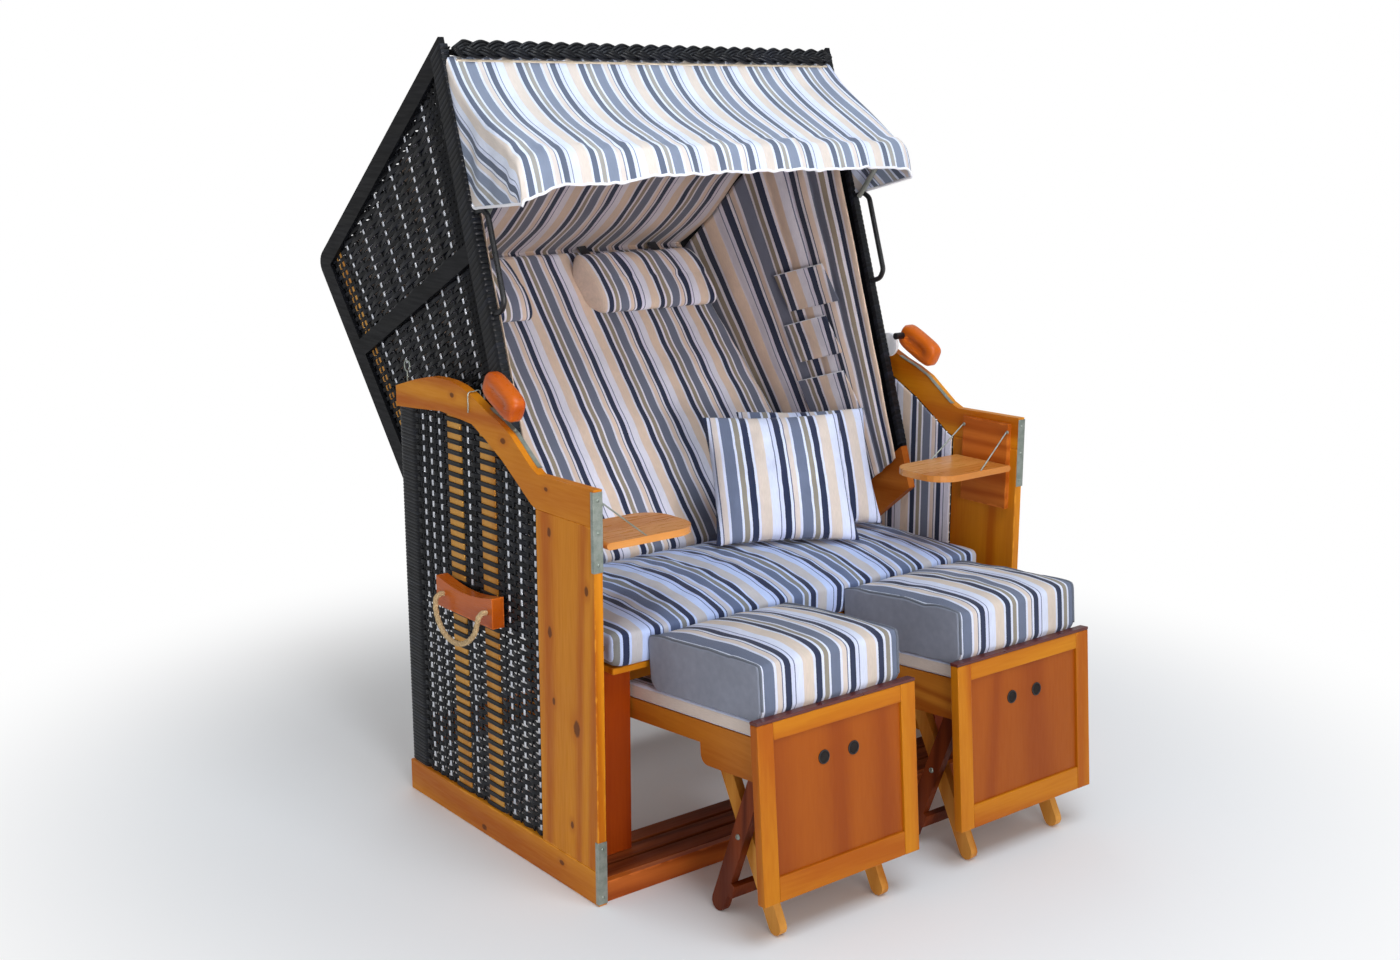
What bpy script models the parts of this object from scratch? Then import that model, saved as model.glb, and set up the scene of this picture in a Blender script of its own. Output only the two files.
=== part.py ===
"""Hooded beach chair: a slatted base with two arms, a reclining hood that carries the
back rest and an awning, two side tables and two pull-out footrests with folding legs.

Metres, +Z up. The front of the chair looks towards -Y and its left side is -X.
Every length below is a real size. Values whose name ends in share or shares are
fractions of the size that they follow.
"""
import math

import bmesh
import bpy
import numpy as np
from mathutils import Matrix, Vector

# General clearances
GAP = 0.0003            # between pieces that touch
PLAY = 0.0005           # between pieces that slide or turn on each other
CUT = 0.02              # overrun of every cut
LAP = 0.003             # how far boards of one frame run into each other
EDGE = 0.0015           # rounding of sawn edges
MERGE = 0.000001        # points nearer than this are one
CREASE = math.radians(30)       # edges of boards and bars steeper than this stay sharp
SOFT_CREASE = math.radians(60)  # the same for cushions and cloth

# Base
WIDTH = 1.18            # over the outer faces of the arms
BASE_DEPTH = 0.74
SIDE_BOARD = 0.020      # thickness of every board in the base sides
PIVOT_FROM_REAR = 0.190 # from the rear of the base to the hood's pivot
PIVOT_Y = BASE_DEPTH - PIVOT_FROM_REAR
POST_DEPTH = 0.196      # wide front post
RAIL_HEIGHT = 0.070     # bottom rail that the chair stands on
ARM_BOTTOM = 0.755
ARM_RISE = 0.208        # from the arm's lower edge to its highest point
ARM_LENGTH = 0.74       # that the arm's curve is set out on, from the rear
WEAVE_SINK = 0.0025     # the woven side lies this far behind the boards
LINING = 0.003          # sheet inside the woven side
LINING_LOW = 0.47

ARM_TOP_SHARES = ((0.0, 0.341), (0.25, 0.327), (0.283, 0.380), (0.380, 0.630), (0.436, 0.720),
                  (0.493, 0.788), (0.578, 0.918), (0.635, 0.975), (0.686, 1.0), (0.740, 1.005),
                  (0.795, 0.995), (0.884, 0.928), (1.0, 0.815))
ARM_UNDER_SHARES = ((1.0, 0.600), (0.881, 0.630), (0.741, 0.673), (0.576, 0.630), (0.505, 0.514),
                    (0.422, 0.356), (0.349, 0.183), (0.286, 0.029))

# Step and cross pieces at the foot of the base
STEP_FRONT = 0.008      # from the front of the base sides to the step's front board
STEP_BOARD = 0.018
STEP_HEIGHT = 0.042
STEP_SLAT = 0.042       # width of one slat
STEP_SLAT_THICK = 0.018
STEP_SLAT_SPACE = 0.008
STEP_SLATS = 3
STEP_BATTEN = 0.040
STILE_FRONT = 0.100
STILE_THICK = 0.020
STILE_WIDTH = 0.1317
REAR_RAIL_HEIGHT = 0.070
REAR_RAIL_LOW = 0.100

# Seat
SEAT_MARGIN = 0.062     # from the inner face of a base side to the seat
SEAT_HALF = WIDTH / 2 - SIDE_BOARD - SEAT_MARGIN
SEAT_FRONT = 0.060
SEAT_TO_PIVOT = 0.095
SEAT_BACK = PIVOT_Y - SEAT_TO_PIVOT
SEAT_BOARD = 0.013
SEAT_BOARD_TOP = 0.4495
BEARER_THICK = 0.018
BEARER_LOW = 0.300
LEDGE_WIDTH = 0.014     # how far a bearer's ledge reaches under a drawer side
LEDGE_THICK = 0.014
LEDGE_FRONT = 0.145
MIDDLE_STEM = 0.024
SEAT_CUSHION_FRONT = 0.046
SEAT_CUSHION_TO_PIVOT = 0.065
SEAT_CUSHION_BACK = PIVOT_Y - SEAT_CUSHION_TO_PIVOT
SEAT_CUSHION_EDGE = 0.070
SEAT_CUSHION_CROWN = 0.105
SEAT_CUSHION_DRAW = 0.006       # how far its sides pull in between the corners
SEAT_CUSHION_FOOT_SHARE = 0.3   # height of its lower rim, as a share of the upper

# Side tables
TABLE_HINGE_Z = 0.7125  # height of the hinge line
TABLE_THICK = 0.014
TABLE_REACH = 0.2195    # from the hinge plate to the rounded tip
TABLE_FRONT = 0.005
TABLE_BACK = 0.165
TABLE_FOLD_GAP = 0.0015
TABLE_CORNER_SHARE = 0.36       # rounding of its tip, as a share of its depth
PLATE_THICK = 0.012
PLATE_FRONT = 0.020
PLATE_BACK = 0.155
PLATE_LOW = 0.615
PLATE_HIGH = 0.810

# Rope handles on the outer sides
BLOCK_FRONT = 0.325
BLOCK_BACK = 0.548
BLOCK_LOW = 0.484
BLOCK_HIGH = 0.548
BLOCK_THICK = 0.025
BLOCK_DISH = 0.014
DISH_SHARES = (0.12, 0.88)      # ends of the dish along the block
ROPE = 0.012
# Route of the rope loop: distance out from the base side, place along it, height.
ROPE_ROUTE = ((0.0256, 0.5180, 0.5150), (0.0296, 0.5180, 0.5150), (0.0360, 0.5182, 0.5143),
              (0.0415, 0.5186, 0.5105), (0.0448, 0.5188, 0.5040), (0.0460, 0.5180, 0.4940),
              (0.0460, 0.5130, 0.4720), (0.0455, 0.4980, 0.4500), (0.0450, 0.4740, 0.4350),
              (0.0445, 0.4460, 0.4300), (0.0450, 0.4150, 0.4350), (0.0455, 0.3860, 0.4490),
              (0.0460, 0.3620, 0.4700), (0.0460, 0.3510, 0.4920), (0.0448, 0.3480, 0.5040),
              (0.0415, 0.3470, 0.5105), (0.0360, 0.3462, 0.5143), (0.0296, 0.3460, 0.5150),
              (0.0256, 0.3460, 0.5150))

# Hood: sizes along its own back (up) and across it (rear)
PIVOT_Z = 0.500
LEAN = math.radians(39.3)
HOOD_SIDE_PLAY = 0.035  # between a base side and the hood
HOOD_HALF = WIDTH / 2 - SIDE_BOARD - HOOD_SIDE_PLAY
HOOD_BOARD = 0.020
HOOD_UP = 0.923
HOOD_DOWN = 0.076
HOOD_REAR = 0.091
HOOD_LOW_FRONT = 0.286  # front of the side at its foot
HOOD_ROOF_FRONT = 0.682 # front of the side at its roof
HOOD_RAIL = 0.045       # width of the perimeter boards
FOOT_RAIL_SHARE = 0.5   # width of the lowest one, as a share of the others
WEAVE_SHARE = 0.3       # part of the board's thickness behind the woven sheet
MID_RAIL = 0.040
MID_RAIL_REAR_UP = 0.660
MID_RAIL_FRONT_UP = 0.525
FOOT_BOARD_UP = 0.018
PIVOT_PIN = 0.032       # diameter of the hood's pivot spacer
HOOD_CORNER = 0.030
SHELL = 0.014           # woven back and roof
HOOD_LINING = 0.003

# Upholstery of the hood
PAD_MARGIN = 0.015      # from the inner face of a side board to the pad
PAD_HALF = HOOD_HALF - HOOD_BOARD - PAD_MARGIN
PAD_DRAW = 0.004
PAD_LOW_UP = -0.030
PAD_HIGH_UP = 0.895
PAD_LOW_THICK = 0.1165
PAD_HIGH_THICK = 0.0215
BOLSTER_INNER = 0.080
BOLSTER_MARGIN = 0.020  # from the pad's side to the bolster
BOLSTER_OUTER = PAD_HALF - BOLSTER_MARGIN
BOLSTER_LOW_UP = 0.665
BOLSTER_HIGH_UP = 0.850
BOLSTER_PROUD = 0.080
BOLSTER_DRAW = 0.006
BOLSTER_RIM_SHARES = (0.2, 0.45)    # heights of its rims, as shares of how far it stands out
PAD_CROWN = 0.004
PILLOW_THICK = 0.104
PILLOW_RIM_SHARE = 0.2
PILLOW_DRAW = 0.022
PILLOW_TURN = math.radians(-28.5)
PILLOW_LEAN = math.radians(52)
FRONT_PILLOW_WIDTH = 0.323
FRONT_PILLOW_TALL = 0.318
FRONT_PILLOW_INWARD = 0.432     # from the hood's side to the middle of its lower edge
FRONT_PILLOW_X = HOOD_HALF - FRONT_PILLOW_INWARD
FRONT_PILLOW_AHEAD = 0.3054     # from the pivot to the same place
FRONT_PILLOW_Y = PIVOT_Y - FRONT_PILLOW_AHEAD
FRONT_PILLOW_RISE = 0.1120      # from the seat board to the middle of its lower edge
REAR_PILLOW_WIDTH = 0.310
REAR_PILLOW_TALL = 0.302
REAR_PILLOW_INWARD = 0.260
REAR_PILLOW_X = HOOD_HALF - REAR_PILLOW_INWARD
REAR_PILLOW_AHEAD = 0.2105
REAR_PILLOW_Y = PIVOT_Y - REAR_PILLOW_AHEAD
REAR_PILLOW_RISE = 0.1060

# Handles on the hood
PULL_LOW = 0.392        # up the hood
PULL_HIGH = 0.585
PULL_STAND = 0.045
PULL_ROD = 0.012
PULL_BEND_SHARE = 0.35  # rounding of its corners, as a share of how far it stands off
GRIP_LENGTH = 0.135
GRIP_HEIGHT = 0.065
GRIP_WIDTH = 0.038
GRIP_CHAMFER_SHARE = 0.22
GRIP_STAND = 0.024      # from the hood's side to the grip
GRIP_OUT = HOOD_HALF + GRIP_STAND
GRIP_RADIUS = 0.4775    # from the hood's pivot to the underside of the grip
GRIP_ANGLE = math.radians(26.8)
GRIP_STEM = 0.030
GRIP_STEM_BACK = 0.045  # from the grip's middle towards its rear
GRIP_PLATE = 0.085      # length of the steel plate that carries the stem
GRIP_PLATE_HEIGHT = 0.034
GRIP_PLATE_THICK = 0.005
BRAID = 0.034
BRAID_UP = 0.895

# Awning
BOW_ROOT_AHEAD = 0.080  # of the pivot, as are the next ones
BOW_ROOT_Y = PIVOT_Y - BOW_ROOT_AHEAD
BOW_ROOT_Z = 1.300
BOW_TOP_AHEAD = 0.178
BOW_TOP_Y = PIVOT_Y - BOW_TOP_AHEAD
BOW_TOP_Z = 1.4243
BOW_ROD = 0.012
BOW_CORNER = 0.048      # run of its bends
CLOTH = 0.005
AWNING_TOP_BEHIND = 0.031
AWNING_TOP_Y = PIVOT_Y + AWNING_TOP_BEHIND
AWNING_TOP_Z = 1.597
AWNING_SHARES = ((0.0, 0.0), (0.060, 0.165), (0.225, 0.290), (0.450, 0.440), (0.770, 0.668),
                 (0.915, 0.840), (1.0, 1.0))
AWNING_BOW_SHARE = 0.69
AWNING_STEP = 0.026
AWNING_SAG = 0.012
AWNING_ROUNDING = 0.0144        # of the cloth over the bow's ends
FLAP_LEAST = 0.020      # least height of the side flaps
HEM_AHEAD = 0.241
HEM_Y = PIVOT_Y - HEM_AHEAD
HEM_Z = 1.356
FLAP_MIDDLE_AHEAD = 0.124
FLAP_MIDDLE_Y = PIVOT_Y - FLAP_MIDDLE_AHEAD
FLAP_MIDDLE_Z = 1.340
FLAP_LOW_Z = 1.328      # lower edge of the side flap beside the bow's hinge

# Footrest drawers: sizes from the top front edge of the panel, along and below the drawer
DRAWER_FRONT_Y = -0.310
DRAWER_TOP_Z = 0.437
DRAWER_TILT = math.radians(-4.5)
PANEL_WIDTH = 0.398
PANEL_HEIGHT = 0.348
PANEL_THICK = 0.020
PANEL_FRAME = 0.040
PANEL_FOOT_FRAME = 0.050
PANEL_SHEET_FRONT = 0.0045
PANEL_SHEET_BACK = 0.0100
FINGER_HOLE = 0.024
FINGER_SPREAD = 0.075
FINGER_DROP = 0.1015
DRAWER_SIDE_HALF = 0.175  # middle of the drawer to the outer face of its side boards
DRAWER_STILE_PLAY = 0.0043      # between a drawer and the stile beside it
DRAWER_MIDDLE = WIDTH / 2 - SIDE_BOARD - STILE_WIDTH - DRAWER_STILE_PLAY - DRAWER_SIDE_HALF
DRAWER_SIDE = 0.016
DRAWER_SIDE_TOP = 0.042
DRAWER_SIDE_LOW = 0.084
DRAWER_LENGTH = 0.490
BRACKET_BACK = 0.200
BRACKET_LOW = 0.126
DECK = 0.012
FOOTREST_PAD = 0.031
FOOTREST_PAD_BACK = 0.440
FOOT_CUSHION_HALF = 0.1825
FOOT_CUSHION_BACK = 0.345
FOOT_CUSHION_HIGH = 0.112
FOOT_CUSHION_DRAW = 0.004
FOOT_CUSHION_RIM_SHARES = (0.12, 0.80)

# Folding legs of a footrest, in the drawer's own frame
LEG = 0.036             # width of a rear leg
FRONT_LEG = 0.034
LEG_THICK = 0.0175
LEG_TOP_LOW = 0.105     # height of both top ends below the panel's top
REAR_LEG_TOP = 0.048
FRONT_LEG_TOP = 0.184
FRONT_LEG_FOOT_Y = 0.0469
FRONT_LEG_FOOT_LOW = 0.4165
REAR_LEG_FOOT_Y = 0.1910
REAR_LEG_FOOT_LOW = 0.4053
LEG_RAIL_DROP = 0.120   # from the crossing of the legs to the rail of each pair
LEG_RAIL = 0.030
LEG_RAIL_THICK = 0.012

# Derived places of the base
OUTER = WIDTH / 2
INNER = OUTER - SIDE_BOARD
INSIDE = INNER - GAP
SIDES = (("left", -1), ("right", 1))


# Materials
def material(name, colour, roughness, metallic=0.0):
    """A Principled material with plain values."""
    mat = bpy.data.materials.new(name)
    mat.use_nodes = True
    shader = mat.node_tree.nodes["Principled BSDF"]
    shader.inputs["Base Color"].default_value = (*colour, 1.0)
    shader.inputs["Roughness"].default_value = roughness
    shader.inputs["Metallic"].default_value = metallic
    mat.diffuse_color = (*colour, 1.0)
    return mat


def make_materials():
    """The finishes of the chair by name."""
    return {
        "pine": material("honey_pine", (0.58, 0.23, 0.02), 0.45),
        "orange": material("orange_pine", (0.58, 0.08, 0.007), 0.4),
        "dark_wood": material("red_brown_wood", (0.19, 0.02, 0.002), 0.5),
        "wicker": material("black_wicker", (0.012, 0.012, 0.016), 0.4),
        "lining": material("lining_cloth", (0.45, 0.38, 0.28), 0.9),
        "stripes": material("striped_cloth", (0.70, 0.56, 0.40), 0.9),
        "grey": material("grey_cloth", (0.15, 0.17, 0.2), 0.9),
        "rope": material("rope", (0.63, 0.49, 0.3), 0.95),
        "steel": material("galvanised_steel", (0.42, 0.43, 0.4), 0.45, 1.0),
        "braid": material("white_braid", (0.75, 0.74, 0.72), 0.9),
        "panel": material("footrest_plywood", (0.5, 0.14, 0.02), 0.45),
    }


# Modelling helpers
def new_object(name, bm, mat, parent=None, smooth=None):
    """Turn a bmesh into a named object with outward faces."""
    bmesh.ops.recalc_face_normals(bm, faces=bm.faces[:])
    mesh = bpy.data.meshes.new(name)
    bm.to_mesh(mesh)
    bm.free()
    obj = bpy.data.objects.new(name, mesh)
    bpy.context.scene.collection.objects.link(obj)
    mesh.materials.append(mat)
    obj.parent = parent
    if smooth is not None:
        mesh.shade_smooth()
        mesh.set_sharp_from_angle(angle=smooth)
    return obj


def box_mesh(low, high):
    """A box between two corners."""
    bm = bmesh.new()
    centre = (Vector(low) + Vector(high)) / 2
    size = Vector(high) - Vector(low)
    bmesh.ops.create_cube(bm, size=1, matrix=Matrix.Translation(centre) @ Matrix.Diagonal(size).to_4x4())
    return bm


def span(a, b):
    """Two places in rising order."""
    return (min(a, b), max(a, b))


def box(name, xs, ys, zs, mat, parent=None, edge=EDGE):
    """A sawn board between two corners, with broken edges."""
    (x0, x1), (y0, y1), (z0, z1) = span(*xs), span(*ys), span(*zs)
    bm = box_mesh((x0, y0, z0), (x1, y1, z1))
    if edge:
        bmesh.ops.bevel(bm, geom=bm.edges[:], offset=edge, segments=1, affect="EDGES")
    return new_object(name, bm, mat, parent)


def prism(name, outline, xs, mat, parent=None, smooth=None):
    """A board cut to an outline of (y, z) points, between two places across the chair."""
    x0, x1 = span(*xs)
    bm = bmesh.new()
    face = bm.faces.new([bm.verts.new((x0, y, z)) for y, z in outline])
    grown = bmesh.ops.extrude_face_region(bm, geom=[face])
    verts = [v for v in grown["geom"] if isinstance(v, bmesh.types.BMVert)]
    bmesh.ops.translate(bm, verts=verts, vec=(x1 - x0, 0, 0))
    return new_object(name, bm, mat, parent, smooth)


def rod(name, start, end, diameter, mat, parent=None, sides=12):
    """A round bar between two points."""
    start, end = Vector(start), Vector(end)
    bm = bmesh.new()
    turn = (end - start).to_track_quat("Z", "Y").to_matrix().to_4x4()
    place = Matrix.Translation((start + end) / 2) @ turn
    bmesh.ops.create_cone(bm, cap_ends=True, segments=sides, radius1=diameter / 2,
                          radius2=diameter / 2, depth=(end - start).length, matrix=place)
    return new_object(name, bm, mat, parent, CREASE)


def smooth_route(points, step, closed=False):
    """Points at even spacing on a smooth curve through the given ones."""
    pts = np.array(points, dtype=float)
    if closed:
        pts = np.vstack([pts[-1:], pts, pts[:2]])
    else:
        pts = np.vstack([2 * pts[0] - pts[1], pts, 2 * pts[-1] - pts[-2]])
    fine = []
    share = np.linspace(0, 1, 40, endpoint=False)[:, None]
    for a, b, c, d in zip(pts[:-3], pts[1:-2], pts[2:-1], pts[3:]):
        fine.append(0.5 * (2 * b + (c - a) * share + (2 * a - 5 * b + 4 * c - d) * share ** 2
                           + (3 * b - a - 3 * c + d) * share ** 3))
    fine = np.vstack(fine + [pts[-2][None]])
    along = np.concatenate([[0], np.cumsum(np.linalg.norm(np.diff(fine, axis=0), axis=1))])
    count = max(int(round(along[-1] / step)), 2)
    places = np.linspace(0, along[-1], count + 1)
    return np.stack([np.interp(places, along, fine[:, k]) for k in range(3)], axis=1)


def tube(name, points, diameter, mat, parent=None, resolution=2):
    """A bent bar or rope as a bevelled curve with closed ends."""
    curve = bpy.data.curves.new(name, "CURVE")
    curve.dimensions = "3D"
    curve.bevel_depth = diameter / 2
    curve.bevel_resolution = resolution
    curve.use_fill_caps = True
    line = curve.splines.new("POLY")
    line.points.add(len(points) - 1)
    for place, point in zip(line.points, points):
        place.co = (*point, 1)
    curve.materials.append(mat)
    obj = bpy.data.objects.new(name, curve)
    bpy.context.scene.collection.objects.link(obj)
    obj.parent = parent
    return obj


def bake(obj):
    """Replace an object's data by its evaluated mesh, modifiers included."""
    graph = bpy.context.evaluated_depsgraph_get()
    mesh = bpy.data.meshes.new_from_object(obj.evaluated_get(graph), depsgraph=graph)
    if obj.type == "CURVE":
        made = bpy.data.objects.new(obj.name, mesh)
        bpy.context.scene.collection.objects.link(made)
        made.parent = obj.parent
        name = obj.name
        bpy.data.objects.remove(obj)
        made.name = name
        return made
    obj.modifiers.clear()
    obj.data = mesh
    return obj


def combine(obj, others, operation):
    """Join pieces to an object, or cut them out of it, and remove them."""
    for other in others:
        change = obj.modifiers.new(operation.lower(), "BOOLEAN")
        change.operation = operation
        change.solver = "EXACT"
        change.object = other
    obj = bake(obj)
    for other in others:
        bpy.data.objects.remove(other)
    bm = bmesh.new()
    bm.from_mesh(obj.data)
    bmesh.ops.remove_doubles(bm, verts=bm.verts[:], dist=MERGE)
    bmesh.ops.dissolve_degenerate(bm, edges=bm.edges[:], dist=MERGE)
    bmesh.ops.triangulate(bm, faces=[f for f in bm.faces if len(f.verts) > 4])
    bm.to_mesh(obj.data)
    bm.free()
    return obj


def join(name, pieces):
    """Union of pieces under one name."""
    body = combine(pieces[0], pieces[1:], "UNION")
    body.name = name
    return body


def cut(obj, cutters):
    """An object with the cutters taken out of it."""
    return combine(obj, cutters, "DIFFERENCE")


def empty(name, place, turn=0.0, parent=None):
    """A frame with its origin on a joint, turned about the cross axis."""
    obj = bpy.data.objects.new(name, None)
    bpy.context.scene.collection.objects.link(obj)
    obj.location = place
    obj.rotation_euler = (turn, 0, 0)
    obj.parent = parent
    return obj


def shell_mesh(grid_top, grid_low):
    """A closed body between two grids of points of the same shape."""
    rows, cols, _ = grid_top.shape
    bm = bmesh.new()
    upper = [[bm.verts.new(p) for p in row] for row in grid_top]
    lower = [[bm.verts.new(p) for p in row] for row in grid_low]
    for i in range(rows - 1):
        for j in range(cols - 1):
            bm.faces.new((upper[i][j], upper[i][j + 1], upper[i + 1][j + 1], upper[i + 1][j]))
            bm.faces.new((lower[i][j], lower[i + 1][j], lower[i + 1][j + 1], lower[i][j + 1]))
    border = [(0, j) for j in range(cols)] + [(i, cols - 1) for i in range(1, rows)]
    border += [(rows - 1, j) for j in range(cols - 2, -1, -1)] + [(i, 0) for i in range(rows - 2, 0, -1)]
    for (a, b), (c, d) in zip(border, border[1:] + border[:1]):
        bm.faces.new((upper[a][b], upper[c][d], lower[c][d], lower[a][b]))
    return bm


def pillow_grid(half_u, half_v, low, edge_low, edge_high, crown, draw, across=13, along=9, flat=True):
    """Upper and lower faces of a cushion: u, v and height above its seat.

    The height rises from edge_high at the rim to crown in the middle, and the sides are
    drawn in between the corners by draw. A flat cushion lies on most of its lower face.
    """
    u, v = np.meshgrid(np.sin(np.linspace(-1, 1, across) * math.pi / 2),
                       np.sin(np.linspace(-1, 1, along) * math.pi / 2), indexing="ij")
    swell = ((1 - u ** 4) * (1 - v ** 4)) ** 0.5
    pull_u = 1 - draw / half_u * (1 - v ** 2) * np.abs(u)
    pull_v = 1 - draw / half_v * (1 - u ** 2) * np.abs(v)
    x, y = u * half_u * pull_u, v * half_v * pull_v
    top = np.stack([x, y, edge_high + (crown - edge_high) * swell], axis=2)
    spread = np.minimum(swell * 2, 1) if flat else swell
    under = np.stack([x, y, edge_low + (low - edge_low) * spread], axis=2)
    return top, under


def cushion(name, grids, place, mat, parent=None):
    """A cushion whose grids are moved into place by a function."""
    bm = shell_mesh(place(grids[0]), place(grids[1]))
    return new_object(name, bm, mat, parent, SOFT_CREASE)


# Base
def arm_outline(shares):
    """Places along the base and heights of a run of the arm's edge, set out from its rear."""
    return [(max(BASE_DEPTH - ARM_LENGTH * (1 - along), 0) if along else 0, ARM_BOTTOM + up * ARM_RISE)
            for along, up in shares]


def arm_under(y):
    """Height of the arm's lower edge at a place along the base."""
    line = arm_outline(ARM_UNDER_SHARES)[::-1]
    line.insert(0, (POST_DEPTH, ARM_BOTTOM))
    return float(np.interp(y, [p[0] for p in line], [p[1] for p in line]))


def build_base_side(name, side, mats, chair):
    """Arm, post, rail, woven panel and lining of one side."""
    across = (side * INNER, side * OUTER)
    top = arm_outline(ARM_TOP_SHARES)
    under = arm_outline(ARM_UNDER_SHARES)
    outline = top + under + [(POST_DEPTH, ARM_BOTTOM), (0, ARM_BOTTOM)]
    prism(f"arm_{name}", outline, across, mats["pine"], chair, CREASE)
    box(f"front_post_{name}", across, (0, POST_DEPTH), (RAIL_HEIGHT + GAP, ARM_BOTTOM - GAP),
        mats["pine"], chair)
    box(f"bottom_rail_{name}", across, (0, BASE_DEPTH), (0, RAIL_HEIGHT), mats["pine"], chair)

    start = POST_DEPTH + GAP
    stops = [start] + [y for y, _ in under[::-1] if y > start]
    upper = [(y, arm_under(y) - 2 * GAP) for y in stops]
    woven = [(start, RAIL_HEIGHT + GAP), (BASE_DEPTH, RAIL_HEIGHT + GAP)] + upper[::-1]
    prism(f"side_weave_{name}", woven, (side * INNER, side * (OUTER - WEAVE_SINK)), mats["wicker"], chair)
    sheet = [(start, LINING_LOW), (BASE_DEPTH - SIDE_BOARD, LINING_LOW)]
    sheet += [(min(y, BASE_DEPTH - SIDE_BOARD), z) for y, z in upper[::-1]]
    prism(f"base_lining_{name}", sheet, (side * INSIDE, side * (INSIDE - LINING)), mats["lining"], chair)


def build_rope_handle(name, side, mats, chair):
    """Saddle block on the woven side and the rope loop that hangs from it."""
    dish = [(BLOCK_BACK + (BLOCK_FRONT - BLOCK_BACK) * t,
             BLOCK_HIGH - BLOCK_DISH * math.sin(math.pi * t)) for t in np.linspace(*DISH_SHARES, 9)]
    outline = [(BLOCK_FRONT, BLOCK_LOW), (BLOCK_BACK, BLOCK_LOW), (BLOCK_BACK, BLOCK_HIGH)]
    outline += dish + [(BLOCK_FRONT, BLOCK_HIGH)]
    seat = OUTER - WEAVE_SINK + GAP
    prism(f"handle_block_{name}", outline, (side * seat, side * (OUTER + GAP + BLOCK_THICK)),
          mats["orange"], chair, CREASE)
    route = [(side * (OUTER + out), y, z) for out, y, z in ROPE_ROUTE]
    line = [route[0], *smooth_route(route[1:-1], ROPE), route[-1]]
    tube(f"handle_rope_{name}", line, ROPE, mats["rope"], chair)


def build_step(mats, chair):
    """Front board and slats of the step between the bottom rails."""
    rear = STEP_FRONT + STEP_BOARD
    box("step_board", (-INSIDE, INSIDE), (STEP_FRONT, rear), (0, STEP_HEIGHT), mats["orange"], chair)
    start = rear + GAP
    pieces = []
    for index in range(STEP_SLATS):
        front = start + index * (STEP_SLAT + STEP_SLAT_SPACE)
        pieces.append(box("slat", (-INSIDE, INSIDE), (front, front + STEP_SLAT),
                          (STEP_HEIGHT - STEP_SLAT_THICK, STEP_HEIGHT), mats["dark_wood"], chair))
    back = start + STEP_SLATS * STEP_SLAT + (STEP_SLATS - 1) * STEP_SLAT_SPACE
    for place in (-1, 0, 1):
        centre = place * (INSIDE - STEP_BATTEN)
        pieces.append(box("batten", (centre - STEP_BATTEN / 2, centre + STEP_BATTEN / 2),
                          (start + LAP, back - LAP), (GAP, STEP_HEIGHT - STEP_SLAT_THICK + LAP),
                          mats["dark_wood"], chair, 0))
    join("step_slats", pieces)


def build_seat(mats, chair):
    """Seat board, its bearers with the drawers' ledges, the stiles and the cushion."""
    under = SEAT_BOARD_TOP - SEAT_BOARD
    stile_inner = INSIDE - STILE_WIDTH
    for name, side in SIDES:
        box(f"front_stile_{name}", (side * stile_inner, side * INSIDE),
            (STILE_FRONT, STILE_FRONT + STILE_THICK), (STEP_HEIGHT + GAP, under - GAP),
            mats["dark_wood"], chair)
    box("rear_rail", (-INSIDE, INSIDE), (BASE_DEPTH - 2 * SIDE_BOARD, BASE_DEPTH - SIDE_BOARD),
        (REAR_RAIL_LOW, REAR_RAIL_LOW + REAR_RAIL_HEIGHT), mats["pine"], chair)
    box("seat_board", (-SEAT_HALF, SEAT_HALF), (SEAT_FRONT, SEAT_BACK), (under, SEAT_BOARD_TOP),
        mats["dark_wood"], chair)

    def ledge_outline(depth):
        """Sloping ledge under a drawer side, straight down to a depth below its top."""
        top = [(y, drawer_height(y, DRAWER_SIDE_LOW + PLAY)) for y in (LEDGE_FRONT, SEAT_BACK)]
        return top + [(y, z - depth) for y, z in top[::-1]]

    front = STILE_FRONT + STILE_THICK + GAP
    for name, side in SIDES:
        stem = box(f"seat_bearer_{name}", (side * stile_inner, side * (stile_inner + BEARER_THICK)),
                   (front, SEAT_BACK), (BEARER_LOW, under - GAP), mats["pine"], chair, 0)
        reach = (side * (stile_inner - LEDGE_WIDTH), side * (stile_inner + LAP))
        ledge = prism("ledge", ledge_outline(LEDGE_THICK), reach, mats["pine"], chair)
        join(f"seat_bearer_{name}", [stem, ledge])
    stem = box("seat_bearer_middle", (-MIDDLE_STEM / 2, MIDDLE_STEM / 2), (LEDGE_FRONT, SEAT_BACK),
               (BEARER_LOW, under - GAP), mats["pine"], chair, 0)
    reach = DRAWER_MIDDLE - DRAWER_SIDE_HALF + LEDGE_WIDTH - DRAWER_SIDE / 2
    flange = prism("flange", ledge_outline(LEDGE_THICK), (-reach, reach), mats["pine"], chair)
    join("seat_bearer_middle", [stem, flange])

    half_v = (SEAT_CUSHION_BACK - SEAT_CUSHION_FRONT) / 2
    middle = (SEAT_CUSHION_BACK + SEAT_CUSHION_FRONT) / 2
    grids = pillow_grid(SEAT_HALF, half_v, 0, SEAT_CUSHION_FOOT_SHARE * SEAT_CUSHION_EDGE,
                        SEAT_CUSHION_EDGE, SEAT_CUSHION_CROWN, SEAT_CUSHION_DRAW, across=17, along=11)
    base = np.array((0, middle, SEAT_BOARD_TOP + GAP))
    cushion("seat_cushion", grids, lambda g: g + base, mats["stripes"], chair)


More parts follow.
